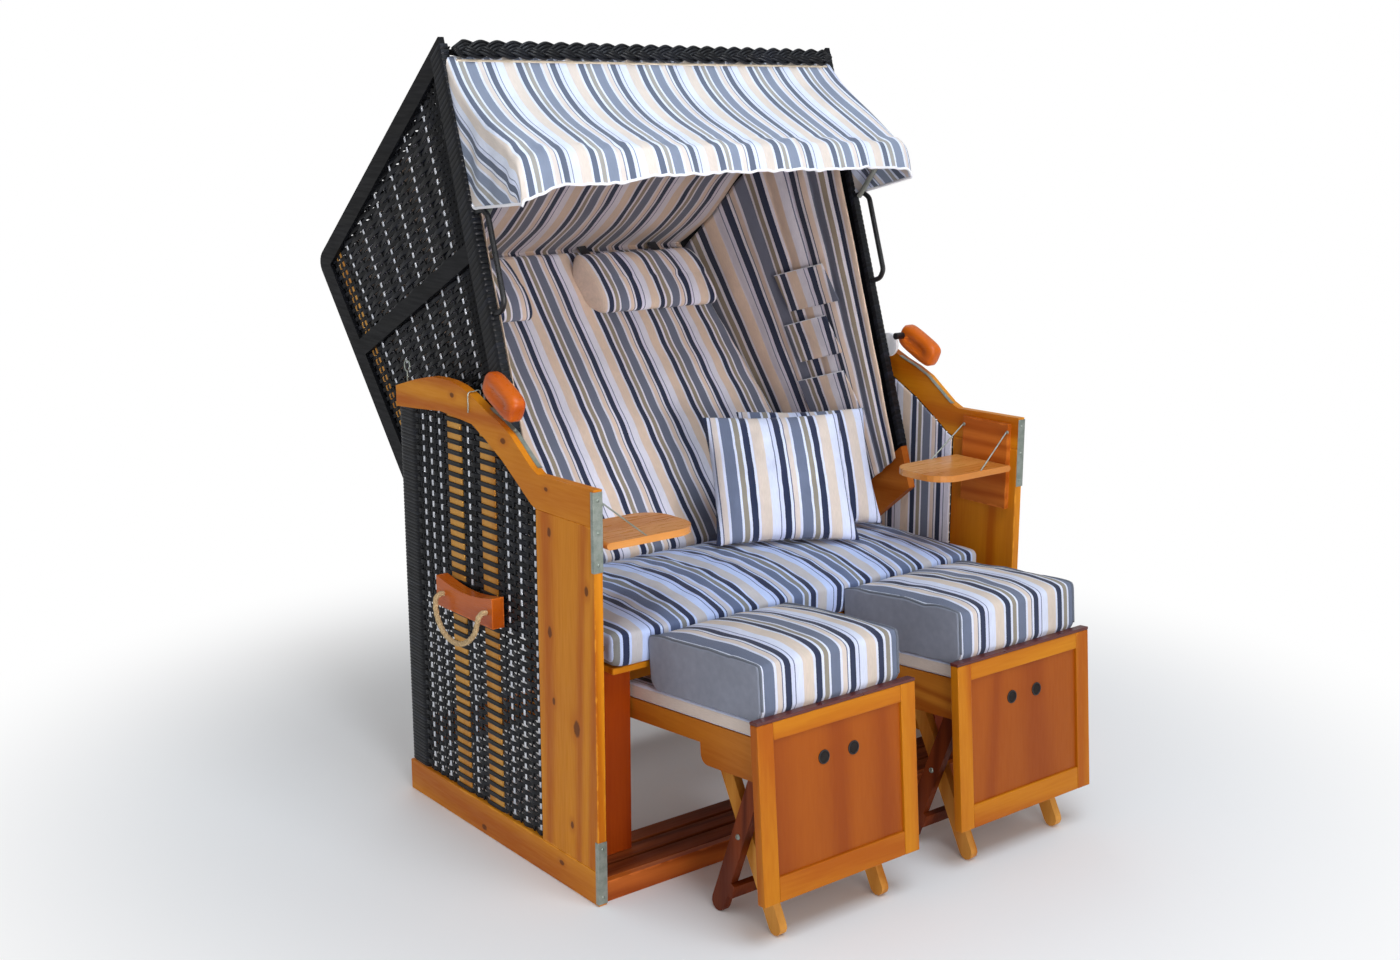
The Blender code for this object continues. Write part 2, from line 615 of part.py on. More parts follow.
def build_side_table(name, side, mats, chair):
    """Wall plate with two hinge eyes, and the flap that folds up against it."""
    hinge_x = INSIDE - PLATE_THICK - TABLE_FOLD_GAP - TABLE_THICK / 2
    plate = box(f"table_plate_{name}", (side * (INSIDE - PLATE_THICK), side * INSIDE),
                (PLATE_FRONT, PLATE_BACK), (PLATE_LOW, PLATE_HIGH), mats["pine"], chair, 0)
    eyes = []
    inner = hinge_x + TABLE_THICK / 2 + GAP
    width = (PLATE_BACK - PLATE_FRONT) / 5
    for share in (1, 3):
        front = PLATE_FRONT + share * width
        eyes.append(box("eye", (side * inner, side * (INSIDE - PLATE_THICK + LAP)),
                        (front, front + width),
                        (TABLE_HINGE_Z - TABLE_THICK / 2, TABLE_HINGE_Z + TABLE_THICK / 2),
                        mats["pine"], chair, 0))
    join(f"table_plate_{name}", [plate] + eyes)

    hinge = empty(f"table_hinge_{name}", (side * hinge_x, 0, TABLE_HINGE_Z), parent=chair)
    radius = (TABLE_BACK - TABLE_FRONT) * TABLE_CORNER_SHARE
    plan = [(0, TABLE_FRONT), (0, TABLE_BACK)]
    for turn in np.linspace(0, math.pi / 2, 7):
        plan.append((TABLE_REACH - radius + radius * math.sin(turn),
                     TABLE_BACK - radius + radius * math.cos(turn)))
    for turn in np.linspace(0, math.pi / 2, 7):
        plan.append((TABLE_REACH - radius + radius * math.cos(turn),
                     TABLE_FRONT + radius - radius * math.sin(turn)))
    bm = bmesh.new()
    face = bm.faces.new([bm.verts.new((-side * x, y, -TABLE_THICK / 2)) for x, y in plan])
    grown = bmesh.ops.extrude_face_region(bm, geom=[face])
    verts = [v for v in grown["geom"] if isinstance(v, bmesh.types.BMVert)]
    bmesh.ops.translate(bm, verts=verts, vec=(0, 0, TABLE_THICK))
    flap = new_object(f"side_table_{name}", bm, mats["pine"], hinge, CREASE)
    knuckle = rod("knuckle", (0, TABLE_FRONT, 0), (0, TABLE_BACK, 0), TABLE_THICK, mats["pine"], hinge, 16)
    join(f"side_table_{name}", [flap, knuckle])


# Hood
def hood_front(up):
    """Front edge of the hood's side at a height along its back."""
    slope = (HOOD_ROOF_FRONT - HOOD_LOW_FRONT) / (HOOD_UP + HOOD_DOWN)
    return -(HOOD_LOW_FRONT + (up + HOOD_DOWN) * slope)


def inset(outline, widths):
    """Move each edge of a convex outline inwards by its own width."""
    pts = [np.array(p) for p in outline]
    count = len(pts)
    centre = sum(pts) / count
    lines = []
    for k in range(count):
        a, b = pts[k], pts[(k + 1) % count]
        normal = np.array((-(b - a)[1], (b - a)[0])) / np.linalg.norm(b - a)
        if np.dot(centre - a, normal) < 0:
            normal = -normal
        lines.append((normal, np.dot(normal, a) + widths[k]))
    found = []
    for k in range(count):
        (n1, d1), (n2, d2) = lines[k - 1], lines[k]
        found.append(tuple(np.linalg.solve(np.array((n1, n2)), np.array((d1, d2)))))
    return found


def hood_outline(low, margin=0.0):
    """Side of the hood above a height, drawn in by a margin, with its rear corner rounded."""
    corners = [(hood_front(low), low), (HOOD_REAR, low), (HOOD_REAR, HOOD_UP), (hood_front(HOOD_UP), HOOD_UP)]
    corners = inset(corners, [margin] * 4)
    (rear, top), radius = corners[2], HOOD_CORNER - margin
    arc = [(rear - radius + radius * math.cos(t), top - radius + radius * math.sin(t))
           for t in np.linspace(0, math.pi / 2, 6)]
    return corners[:2] + arc + corners[3:]


def build_hood_side(name, side, mats, hood):
    """Board frame, woven panel and foot board of one side of the hood."""
    inner, outer = HOOD_HALF - HOOD_BOARD, HOOD_HALF
    layer = inner + HOOD_BOARD * WEAVE_SHARE
    low = FOOT_BOARD_UP + GAP
    plate = prism(f"hood_frame_{name}", hood_outline(low), (side * (layer + GAP), side * outer),
                  mats["pine"], hood)
    rail_front = (hood_front(MID_RAIL_FRONT_UP), MID_RAIL_FRONT_UP)
    rail_rear = (HOOD_REAR, MID_RAIL_REAR_UP)
    above = [rail_front, rail_rear, (HOOD_REAR, HOOD_UP), (hood_front(HOOD_UP), HOOD_UP)]
    below = [(hood_front(low), low), (HOOD_REAR, low), rail_rear, rail_front]
    holes = [inset(above, [MID_RAIL / 2, HOOD_RAIL, HOOD_RAIL, HOOD_RAIL]),
             inset(below, [HOOD_RAIL * FOOT_RAIL_SHARE, HOOD_RAIL, MID_RAIL / 2, HOOD_RAIL])]
    cutters = [prism("hole", hole, (side * (layer - CUT), side * (outer + CUT)), mats["pine"], hood)
               for hole in holes]
    cut(plate, cutters)
    prism(f"hood_weave_{name}", hood_outline(low), (side * inner, side * layer), mats["wicker"], hood)
    foot = [(hood_front(-HOOD_DOWN), -HOOD_DOWN), (HOOD_REAR, -HOOD_DOWN),
            (HOOD_REAR, FOOT_BOARD_UP), (hood_front(FOOT_BOARD_UP), FOOT_BOARD_UP)]
    board = prism(f"hood_foot_{name}", foot, (side * inner, side * outer), mats["orange"], hood)
    pin = rod("pin", (side * (outer - LAP), 0, 0), (side * (INSIDE - LINING - PLAY), 0, 0), PIVOT_PIN,
              mats["steel"], hood, 20)
    join(f"hood_foot_{name}", [board, pin])


def build_hood_shell(mats, hood):
    """Woven back and roof in one, and the lining of the sides and the roof."""
    half = HOOD_HALF - HOOD_BOARD - GAP
    radius = HOOD_CORNER
    arc = [(HOOD_REAR - radius + radius * math.cos(t), HOOD_UP - radius + radius * math.sin(t))
           for t in np.linspace(0, math.pi / 2, 6)]
    roof_low = HOOD_UP - SHELL
    back_front = HOOD_REAR - SHELL
    outline = [(back_front, PAD_LOW_UP), (HOOD_REAR, PAD_LOW_UP)] + arc
    outline += [(hood_front(HOOD_UP), HOOD_UP), (hood_front(roof_low), roof_low), (back_front, roof_low)]
    prism("hood_shell", outline, (-half, half), mats["wicker"], hood, CREASE)

    rear = back_front - GAP
    high = roof_low - GAP
    side_high = high - HOOD_LINING / 2
    panel = [(hood_front(FOOT_BOARD_UP) + GAP, FOOT_BOARD_UP), (rear - GAP, FOOT_BOARD_UP),
             (rear - GAP, side_high), (hood_front(side_high) + GAP, side_high)]
    sides = [prism("panel", panel, (side * (half - HOOD_LINING), side * half), mats["lining"], hood)
             for _, side in SIDES]
    ceiling = [(hood_front(high - HOOD_LINING), high - HOOD_LINING), (rear, high - HOOD_LINING),
               (rear, high), (hood_front(high), high)]
    roof = prism("hood_lining", ceiling, (-(half - GAP), half - GAP), mats["lining"], hood)
    join("hood_lining", [roof] + sides)


def pad_front(up):
    """Front of the back rest pad, before its crown."""
    rear = HOOD_REAR - SHELL - PLAY
    share = (up - PAD_LOW_UP) / (PAD_HIGH_UP - PAD_LOW_UP)
    return rear - (PAD_LOW_THICK + (PAD_HIGH_THICK - PAD_LOW_THICK) * share)


def build_upholstery(mats, hood):
    """Back rest pad and the two bolsters strapped to it."""
    middle = (PAD_LOW_UP + PAD_HIGH_UP) / 2
    half_up = (PAD_HIGH_UP - PAD_LOW_UP) / 2
    top, under = pillow_grid(PAD_HALF, half_up, 0, 0, 0, PAD_CROWN, PAD_DRAW, across=13, along=13)
    rear = HOOD_REAR - SHELL - PLAY

    def front_face(grid):
        up = middle + grid[..., 1]
        return np.stack([grid[..., 0], pad_front(up) - grid[..., 2], up], axis=2)

    def rear_face(grid):
        up = middle + grid[..., 1]
        return np.stack([grid[..., 0], np.full_like(up, rear), up], axis=2)

    bm = shell_mesh(front_face(top), rear_face(under))
    new_object("backrest_pad", bm, mats["stripes"], hood, SOFT_CREASE)

    half_u = (BOLSTER_OUTER - BOLSTER_INNER) / 2
    half_v = (BOLSTER_HIGH_UP - BOLSTER_LOW_UP) / 2
    centre_up = (BOLSTER_HIGH_UP + BOLSTER_LOW_UP) / 2
    for name, side in SIDES:
        rims = [share * BOLSTER_PROUD for share in BOLSTER_RIM_SHARES]
        grids = pillow_grid(half_u, half_v, 0, *rims, BOLSTER_PROUD, BOLSTER_DRAW, across=13, along=11)
        centre_x = side * (BOLSTER_INNER + half_u)

        def place(grid, centre_x=centre_x):
            up = centre_up + grid[..., 1]
            front = pad_front(up) - PAD_CROWN - GAP
            return np.stack([centre_x + grid[..., 0], front - grid[..., 2], up], axis=2)

        cushion(f"bolster_{name}", grids, place, mats["stripes"], hood)


def build_pillows(mats, chair):
    """Two loose pillows on the right of the seat, one leaning on the other."""
    pillows = (("pillow_front", FRONT_PILLOW_WIDTH, FRONT_PILLOW_TALL,
                (FRONT_PILLOW_X, FRONT_PILLOW_Y, SEAT_BOARD_TOP + FRONT_PILLOW_RISE)),
               ("pillow_rear", REAR_PILLOW_WIDTH, REAR_PILLOW_TALL,
                (REAR_PILLOW_X, REAR_PILLOW_Y, SEAT_BOARD_TOP + REAR_PILLOW_RISE)))
    for name, width, tall, foot in pillows:
        across = Vector((math.cos(PILLOW_TURN), math.sin(PILLOW_TURN), 0))
        ahead = Vector((-math.sin(PILLOW_TURN), math.cos(PILLOW_TURN), 0))
        up = ahead * math.cos(PILLOW_LEAN) + Vector((0, 0, math.sin(PILLOW_LEAN)))
        out = across.cross(up)
        foot = Vector(foot)
        edge = PILLOW_THICK * PILLOW_RIM_SHARE / 2
        grids = pillow_grid(width / 2, tall / 2, -PILLOW_THICK / 2, -edge, edge,
                            PILLOW_THICK / 2, PILLOW_DRAW, across=13, along=13, flat=False)

        def place(grid, foot=foot, across=across, up=up, out=out, tall=tall):
            middle = np.array(foot + up * (tall / 2))
            return (middle + grid[..., 0:1] * np.array(across) + grid[..., 1:2] * np.array(up)
                    + grid[..., 2:3] * np.array(out))

        cushion(name, grids, place, mats["stripes"], chair)


def build_hood_handles(mats, hood):
    """Rim braid, the pull handles on the front edges and the grips beside the arms."""
    slope = Vector((0, hood_front(HOOD_UP) - hood_front(-HOOD_DOWN), HOOD_UP + HOOD_DOWN)).normalized()
    out = Vector((0, -slope.z, slope.y))
    edge = Vector((0, hood_front(BRAID_UP), BRAID_UP))
    centre = edge + out * (BRAID / 2 + GAP)
    rod("rim_braid", centre - Vector((HOOD_HALF, 0, 0)), centre + Vector((HOOD_HALF, 0, 0)), BRAID,
        mats["braid"], hood, 14)

    for name, side in SIDES:
        middle = Vector((side * (HOOD_HALF - HOOD_BOARD / 2), 0, 0))
        foot_low = middle + Vector((0, hood_front(PULL_LOW), PULL_LOW)) + out * GAP
        foot_high = middle + Vector((0, hood_front(PULL_HIGH), PULL_HIGH)) + out * GAP
        bend = PULL_STAND * PULL_BEND_SHARE
        route = [foot_low, foot_low + out * (PULL_STAND - bend), foot_low + out * PULL_STAND + slope * bend,
                 foot_high + out * PULL_STAND - slope * bend, foot_high + out * (PULL_STAND - bend),
                 foot_high]
        tube(f"pull_handle_{name}", smooth_bends(route, bend), PULL_ROD, mats["steel"], hood)

    turned = math.radians(90) + GRIP_ANGLE + LEAN
    outward = Vector((0, math.cos(turned), math.sin(turned)))
    backward = Vector((0, outward.z, -outward.y))
    centre = outward * (GRIP_RADIUS + GRIP_HEIGHT / 2)
    turn = Matrix.Rotation(turned - math.radians(90), 4, "X")
    for name, side in SIDES:
        bm = box_mesh((0, -GRIP_LENGTH / 2, -GRIP_HEIGHT / 2),
                      (GRIP_WIDTH, GRIP_LENGTH / 2, GRIP_HEIGHT / 2))
        chamfer = GRIP_WIDTH * GRIP_CHAMFER_SHARE
        bmesh.ops.bevel(bm, geom=bm.edges[:], offset=chamfer, segments=1, affect="EDGES")
        start = min(side * GRIP_OUT, side * (GRIP_OUT + GRIP_WIDTH))
        bm.transform(Matrix.Translation(centre + Vector((start, 0, 0))) @ turn)
        block = new_object(f"grip_{name}", bm, mats["orange"], hood)
        stem_place = centre + backward * GRIP_STEM_BACK
        board = side * (HOOD_HALF + GAP)
        stem = rod("stem", stem_place + Vector((board, 0, 0)),
                   stem_place + Vector((side * (GRIP_OUT + LAP), 0, 0)), GRIP_STEM, mats["steel"], hood, 16)
        plate = box_mesh((0, -GRIP_PLATE_HEIGHT / 2, -GRIP_PLATE_HEIGHT / 2),
                         (GRIP_PLATE_THICK, GRIP_PLATE, GRIP_PLATE_HEIGHT / 2))
        start = min(board, board + side * GRIP_PLATE_THICK)
        plate.transform(Matrix.Translation(stem_place + Vector((start, 0, 0))) @ turn)
        join(f"grip_{name}", [block, stem, new_object("plate", plate, mats["steel"], hood)])


def smooth_bends(points, radius):
    """A run of points with each corner rounded by a short arc of four steps."""
    made = [points[0]]
    for a, b, c in zip(points[:-2], points[1:-1], points[2:]):
        before = b + (a - b).normalized() * min(radius / 2, (a - b).length / 2)
        after = b + (c - b).normalized() * min(radius / 2, (c - b).length / 2)
        for t in np.linspace(0, 1, 4):
            made.append(before * (1 - t) ** 2 + b * 2 * t * (1 - t) + after * t ** 2)
    made.append(points[-1])
    return made


# Awning
def to_hood(y, z):
    """Place along the hood of a point given by its height and depth on the chair."""
    dy, dz = y - PIVOT_Y, z - PIVOT_Z
    return (dy * math.cos(LEAN) - dz * math.sin(LEAN), dy * math.sin(LEAN) + dz * math.cos(LEAN))


def hood_edge_height(y):
    """Height of the hood's front edge above the ground at a place along the chair."""
    low = (PIVOT_Y + hood_front(-HOOD_DOWN) * math.cos(LEAN) - HOOD_DOWN * math.sin(LEAN),
           PIVOT_Z - hood_front(-HOOD_DOWN) * math.sin(LEAN) - HOOD_DOWN * math.cos(LEAN))
    high = (PIVOT_Y + hood_front(HOOD_UP) * math.cos(LEAN) + HOOD_UP * math.sin(LEAN),
            PIVOT_Z - hood_front(HOOD_UP) * math.sin(LEAN) + HOOD_UP * math.cos(LEAN))
    return low[1] + (y - low[0]) / (high[0] - low[0]) * (high[1] - low[1])


def build_awning(mats, hood):
    """The folding bow on its empty and the cloth that hangs over it from the hood."""
    root = to_hood(BOW_ROOT_Y, BOW_ROOT_Z)
    bow = empty("bow_hinge", (0, root[0], root[1]), LEAN, hood)
    plane = HOOD_HALF - HOOD_BOARD / 2 - PULL_ROD / 2 - PLAY - BOW_ROD / 2
    top = Vector((0, BOW_TOP_Y - BOW_ROOT_Y, BOW_TOP_Z - BOW_ROOT_Z))
    left, right = Vector((-plane, 0, 0)), Vector((plane, 0, 0))
    turn_start = left + top * (1 - BOW_CORNER / top.length)
    turn_end = left + top + Vector((BOW_CORNER, 0, 0))
    arc = [turn_start * (1 - t) ** 2 + (left + top) * 2 * t * (1 - t) + turn_end * t ** 2
           for t in np.linspace(0, 1, 7)]
    run = [left] + arc + [Vector((-p.x, p.y, p.z)) for p in arc[::-1]] + [right]
    tube("awning_bow", run, BOW_ROD, mats["steel"], bow)

    profile = share_outline_between(AWNING_SHARES, (AWNING_TOP_Y, AWNING_TOP_Z), (HEM_Y, HEM_Z))
    line = smooth_route([(0, y, z) for y, z in profile], AWNING_STEP)
    columns = []
    half = HOOD_HALF - BOW_ROD / 2
    across = np.linspace(AWNING_ROUNDING - half, half - AWNING_ROUNDING, 13)
    rows = []
    for index, (_, y, z) in enumerate(line):
        share = index / (len(line) - 1)
        low = max(hood_edge_height(y + CLOTH) + CLOTH,
                  float(np.interp(y, (HEM_Y, FLAP_MIDDLE_Y, BOW_ROOT_Y), (HEM_Z, FLAP_MIDDLE_Z, FLAP_LOW_Z))))
        low = min(low, z - FLAP_LEAST)
        high = z - AWNING_ROUNDING
        sag = AWNING_SAG * math.sin(math.pi * min(share / AWNING_BOW_SHARE, 1.0))
        row = []
        for x in across:
            row.append((x, y, z - sag * (1 - (x / half) ** 2)))
        flap = [(half, y, high + (low - high) * t) for t in np.linspace(0, 1, 3)]
        row = [(-a, b, c) for a, b, c in flap[::-1]] + row + flap
        rows.append(row)
    grid = np.array(rows)
    run_s = np.gradient(grid, axis=0)
    run_t = np.gradient(grid, axis=1)
    normal = np.cross(run_t, run_s)
    normal /= np.linalg.norm(normal, axis=2, keepdims=True)
    if normal[len(line) // 2, 8, 2] < 0:
        normal = -normal
    faces = []
    for shift in (CLOTH / 2, -CLOTH / 2):
        moved = grid + normal * shift
        flat = [[(x, *to_hood(y, z)) for x, y, z in row] for row in moved]
        faces.append(np.array(flat))
    new_object("awning_cloth", shell_mesh(faces[0], faces[1]), mats["stripes"], hood, SOFT_CREASE)


def share_outline_between(shares, start, end):
    """Points between two ends, given as shares of the way in y and in z."""
    return [(start[0] + (end[0] - start[0]) * a, start[1] + (end[1] - start[1]) * b) for a, b in shares]


# Footrest drawers
def drawer_height(y, below):
    """Height above the ground of a line that lies below the drawer's top, at a place along the chair."""
    along = (y - DRAWER_FRONT_Y + below * math.sin(-DRAWER_TILT)) / math.cos(DRAWER_TILT)
    return DRAWER_TOP_Z + along * math.sin(DRAWER_TILT) - below * math.cos(DRAWER_TILT)


def leg_frame():
    """Crossing of the two legs, and the lengths of their arms."""
    rear_top = np.array((REAR_LEG_TOP, -LEG_TOP_LOW))
    front_top = np.array((FRONT_LEG_TOP, -LEG_TOP_LOW))
    rear = np.array((REAR_LEG_FOOT_Y, -REAR_LEG_FOOT_LOW)) - rear_top
    front = np.array((FRONT_LEG_FOOT_Y, -FRONT_LEG_FOOT_LOW)) - front_top
    share = np.linalg.solve(np.array((rear, -front)).T, front_top - rear_top)
    return rear_top + share[0] * rear


def leg_bar(points, width, x_low, x_high, mat, parent):
    """A flat bar with round ends between two (y, z) points."""
    (y0, z0), (y1, z1) = points
    angle = math.atan2(z1 - z0, y1 - y0)
    radius = width / 2
    outline = []
    for centre, start in (((y1, z1), angle - math.pi / 2), ((y0, z0), angle + math.pi / 2)):
        for t in np.linspace(0, math.pi, 7):
            outline.append((centre[0] + radius * math.cos(start + t), centre[1] + radius * math.sin(start + t)))
    return prism("bar", outline, (x_low, x_high), mat, parent, CREASE)


def leg_rail(start, along, reach, mat, parent):
    """Rail across a pair of legs, below a (y, z) point in their own direction."""
    rail = box("rail", (-reach, reach), (-LEG_RAIL_THICK / 2, LEG_RAIL_THICK / 2),
               (-LEG_RAIL / 2, LEG_RAIL / 2), mat, parent, 0)
    tilt = math.atan2(along[0], -along[1])
    place = start + along * LEG_RAIL_DROP
    rail.data.transform(Matrix.Translation((0, *place)) @ Matrix.Rotation(tilt, 4, "X"))
    return rail


def build_footrest(name, side, mats, chair):
    """One drawer with its panel, deck, pad, cushion and two pairs of folding legs."""
    drawer = empty(f"drawer_{name}", (side * DRAWER_MIDDLE, DRAWER_FRONT_Y, DRAWER_TOP_Z), DRAWER_TILT, chair)
    half = PANEL_WIDTH / 2
    panel = box(f"footrest_panel_{name}", (-half, half), (0, PANEL_THICK), (-PANEL_HEIGHT, 0), mats["panel"],
                drawer)
    low, high = -PANEL_HEIGHT + PANEL_FOOT_FRAME, -PANEL_FRAME
    opening = half - PANEL_FRAME
    cutters = [box("front", (-opening, opening), (-CUT, PANEL_SHEET_FRONT), (low, high), mats["panel"],
                   drawer, 0),
               box("back", (-opening, opening), (PANEL_SHEET_BACK, PANEL_THICK + CUT), (low, high),
                   mats["panel"], drawer, 0)]
    for place in (-1, 1):
        centre = Vector((place * FINGER_SPREAD / 2, 0, -FINGER_DROP))
        cutters.append(rod("hole", centre - Vector((0, CUT, 0)), centre + Vector((0, PANEL_THICK + CUT, 0)),
                           FINGER_HOLE, mats["panel"], drawer, 20))
    cut(panel, cutters)

    outer = DRAWER_SIDE_HALF
    inner = outer - DRAWER_SIDE
    start = PANEL_THICK + GAP
    frame = []
    nose = LEG_TOP_LOW - DRAWER_SIDE_LOW + LEG / 2
    for place in (-1, 1):
        xs = (place * inner, place * outer)
        frame.append(box("side", xs, (start, DRAWER_LENGTH), (-DRAWER_SIDE_LOW, -DRAWER_SIDE_TOP),
                         mats["pine"], drawer, 0))
        curve = [(BRACKET_BACK - nose / 2 + nose / 2 * math.sin(t),
                  -BRACKET_LOW + nose / 2 - nose / 2 * math.cos(t)) for t in np.linspace(0, math.pi / 2, 6)]
        bracket = [(start, -DRAWER_SIDE_LOW + LAP), (start, -BRACKET_LOW)] + curve
        bracket.append((BRACKET_BACK, -DRAWER_SIDE_LOW + LAP))
        frame.append(prism("bracket", bracket, xs, mats["pine"], drawer))
    deck_low = -DRAWER_SIDE_TOP - DECK + GAP
    frame.append(box("deck", (-(inner + LAP), inner + LAP), (start, DRAWER_LENGTH - LAP),
                     (deck_low, -DRAWER_SIDE_TOP - GAP), mats["pine"], drawer, 0))
    frame.append(box("rear", (-(inner + LAP), inner + LAP), (DRAWER_LENGTH - DRAWER_SIDE, DRAWER_LENGTH - GAP),
                     (-DRAWER_SIDE_LOW + LAP, -DRAWER_SIDE_TOP - 2 * GAP), mats["pine"], drawer, 0))
    join(f"footrest_frame_{name}", frame)

    pad_low = -DRAWER_SIDE_TOP + GAP
    box(f"footrest_pad_{name}", (-outer, outer), (start, FOOTREST_PAD_BACK), (pad_low, pad_low + FOOTREST_PAD),
        mats["lining"], drawer, 3 * EDGE)
    seat = pad_low + FOOTREST_PAD + GAP
    half_v = (FOOT_CUSHION_BACK - start) / 2
    middle = (FOOT_CUSHION_BACK + start) / 2
    height = FOOT_CUSHION_HIGH - seat
    rims = [share * height for share in FOOT_CUSHION_RIM_SHARES]
    grids = pillow_grid(FOOT_CUSHION_HALF, half_v, 0, *rims, height, FOOT_CUSHION_DRAW, across=13, along=13)
    place = np.array((0, middle, seat))
    cushion(f"footrest_cushion_{name}", grids, lambda g: g + place, mats["stripes"], drawer)

    crossing = leg_frame()
    rear_top = np.array((REAR_LEG_TOP, -LEG_TOP_LOW))
    rear = empty(f"rear_leg_hinge_{name}", (0, *rear_top), 0, drawer)
    front = empty(f"front_leg_hinge_{name}", (0, *(crossing - rear_top)), 0, rear)
    outer_leg = inner - PLAY
    inner_leg = outer_leg - LEG_THICK - PLAY
    foot = np.array((REAR_LEG_FOOT_Y, -REAR_LEG_FOOT_LOW)) - rear_top
    bars = [leg_bar(((0, 0), tuple(foot)), LEG, *span(place * outer_leg, place * (outer_leg - LEG_THICK)),
                    mats["dark_wood"], rear) for place in (-1, 1)]
    along = foot / np.linalg.norm(foot)
    aside = np.array((along[1], -along[0])) * (FRONT_LEG / 2 + PLAY + LEG_RAIL_THICK / 2)
    bars.append(leg_rail(crossing - rear_top + aside, along, outer_leg, mats["dark_wood"], rear))
    join(f"leg_rear_{name}", bars)
    head = np.array((FRONT_LEG_TOP, -LEG_TOP_LOW)) - crossing
    foot = np.array((FRONT_LEG_FOOT_Y, -FRONT_LEG_FOOT_LOW)) - crossing
    bars = [leg_bar((tuple(head), tuple(foot)), FRONT_LEG,
                    *span(place * inner_leg, place * (inner_leg - LEG_THICK)), mats["pine"], front)
            for place in (-1, 1)]
    bars.append(leg_rail(0, foot / np.linalg.norm(foot), inner_leg - LEG_THICK + LAP, mats["pine"], front))
    join(f"leg_front_{name}", bars)


def stand_on_origin(chair):
    """Put the ground centre of the whole chair at the origin."""
    bpy.context.view_layer.update()
    graph = bpy.context.evaluated_depsgraph_get()
    low, high = np.full(3, np.inf), np.full(3, -np.inf)
    for obj in bpy.context.scene.objects:
        if obj.type not in {"MESH", "CURVE"}:
            continue
        found = obj.evaluated_get(graph)
        mesh = found.to_mesh()
        points = np.array([obj.matrix_world @ v.co for v in mesh.vertices])
        found.to_mesh_clear()
        low, high = np.minimum(low, points.min(axis=0)), np.maximum(high, points.max(axis=0))
    chair.location = (-(low[0] + high[0]) / 2, -(low[1] + high[1]) / 2, -low[2])
    bpy.context.view_layer.update()


def main():
    """Build the chair from the ground up and stand it on the origin."""
    for obj in list(bpy.data.objects):
        bpy.data.objects.remove(obj)
    mats = make_materials()
    chair = empty("chair", (0, 0, 0))
    for name, side in SIDES:
        build_base_side(name, side, mats, chair)
        build_rope_handle(name, side, mats, chair)
        build_side_table(name, side, mats, chair)
        build_footrest(name, side, mats, chair)
    build_step(mats, chair)
    build_seat(mats, chair)
    build_pillows(mats, chair)
    hood = empty("hood_pivot", (0, PIVOT_Y, PIVOT_Z), -LEAN, chair)
    for name, side in SIDES:
        build_hood_side(name, side, mats, hood)
    build_hood_shell(mats, hood)
    build_upholstery(mats, hood)
    build_hood_handles(mats, hood)
    build_awning(mats, hood)
    stand_on_origin(chair)


main()
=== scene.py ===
"""Dressed view of a hooded beach chair: finishes, weave, cloth, ropes and trim set round a
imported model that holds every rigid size.

Metres, +Z up, the front of the chair towards -Y and its left side towards -X. Each
sub-assembly is a class whose fields are its sizes and whose methods build its pieces.
"""
from __future__ import annotations

import functools
import logging
import math
from collections.abc import Sequence
from dataclasses import dataclass
from enum import Enum

import bmesh
import bpy
import numpy as np
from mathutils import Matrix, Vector
from mathutils.bvhtree import BVHTree
from numpy.typing import NDArray

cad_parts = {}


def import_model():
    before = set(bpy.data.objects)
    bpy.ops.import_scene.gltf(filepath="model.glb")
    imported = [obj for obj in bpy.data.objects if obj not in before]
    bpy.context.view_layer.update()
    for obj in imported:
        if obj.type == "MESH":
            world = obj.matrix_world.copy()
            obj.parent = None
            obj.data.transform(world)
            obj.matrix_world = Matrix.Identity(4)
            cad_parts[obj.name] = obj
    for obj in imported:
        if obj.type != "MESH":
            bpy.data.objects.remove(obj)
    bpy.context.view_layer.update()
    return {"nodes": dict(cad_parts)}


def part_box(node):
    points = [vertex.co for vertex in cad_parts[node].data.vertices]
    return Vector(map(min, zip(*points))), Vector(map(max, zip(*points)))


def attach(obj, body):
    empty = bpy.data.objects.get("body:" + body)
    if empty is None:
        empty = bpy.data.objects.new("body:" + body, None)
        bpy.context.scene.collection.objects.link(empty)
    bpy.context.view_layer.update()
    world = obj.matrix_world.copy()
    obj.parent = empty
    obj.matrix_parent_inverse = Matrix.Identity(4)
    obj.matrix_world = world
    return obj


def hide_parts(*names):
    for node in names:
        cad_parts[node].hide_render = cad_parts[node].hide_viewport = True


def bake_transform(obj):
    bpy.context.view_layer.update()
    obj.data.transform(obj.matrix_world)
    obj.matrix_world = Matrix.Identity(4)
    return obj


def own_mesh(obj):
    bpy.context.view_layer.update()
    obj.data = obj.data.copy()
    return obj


Floats = NDArray[np.float64]
Colour = tuple[float, float, float]
Point = tuple[float, float, float]
Socket = bpy.types.NodeSocket
Value = float | tuple | Socket
Nodes = dict[str, bpy.types.Object]
LOG = logging.getLogger("beach_chair")
LAY = "lay"  # attribute that holds a point's place on its cloth, strand or board
ORIGIN, UNIT = (0.0, 0.0, 0.0), (1.0, 1.0, 1.0)
CLOTH_THICK = 0.0012
ACROSS = np.array((1.0, 0.0, 0.0))  # direction across the chair


class Side(Enum):
    """The two sides of the chair, with the sign of their X."""

    LEFT = -1.0
    RIGHT = 1.0

    @property
    def label(self) -> str:
        """Name of the side as the model's nodes spell it."""
        return self.name.lower()


class Axis(Enum):
    """Direction that the grain of a board runs in."""

    X = 0
    Y = 1
    Z = 2


class Facing(Enum):
    """How a piece's faces are turned when it is made."""

    CLOSED = "closed"
    SHEET = "sheet"


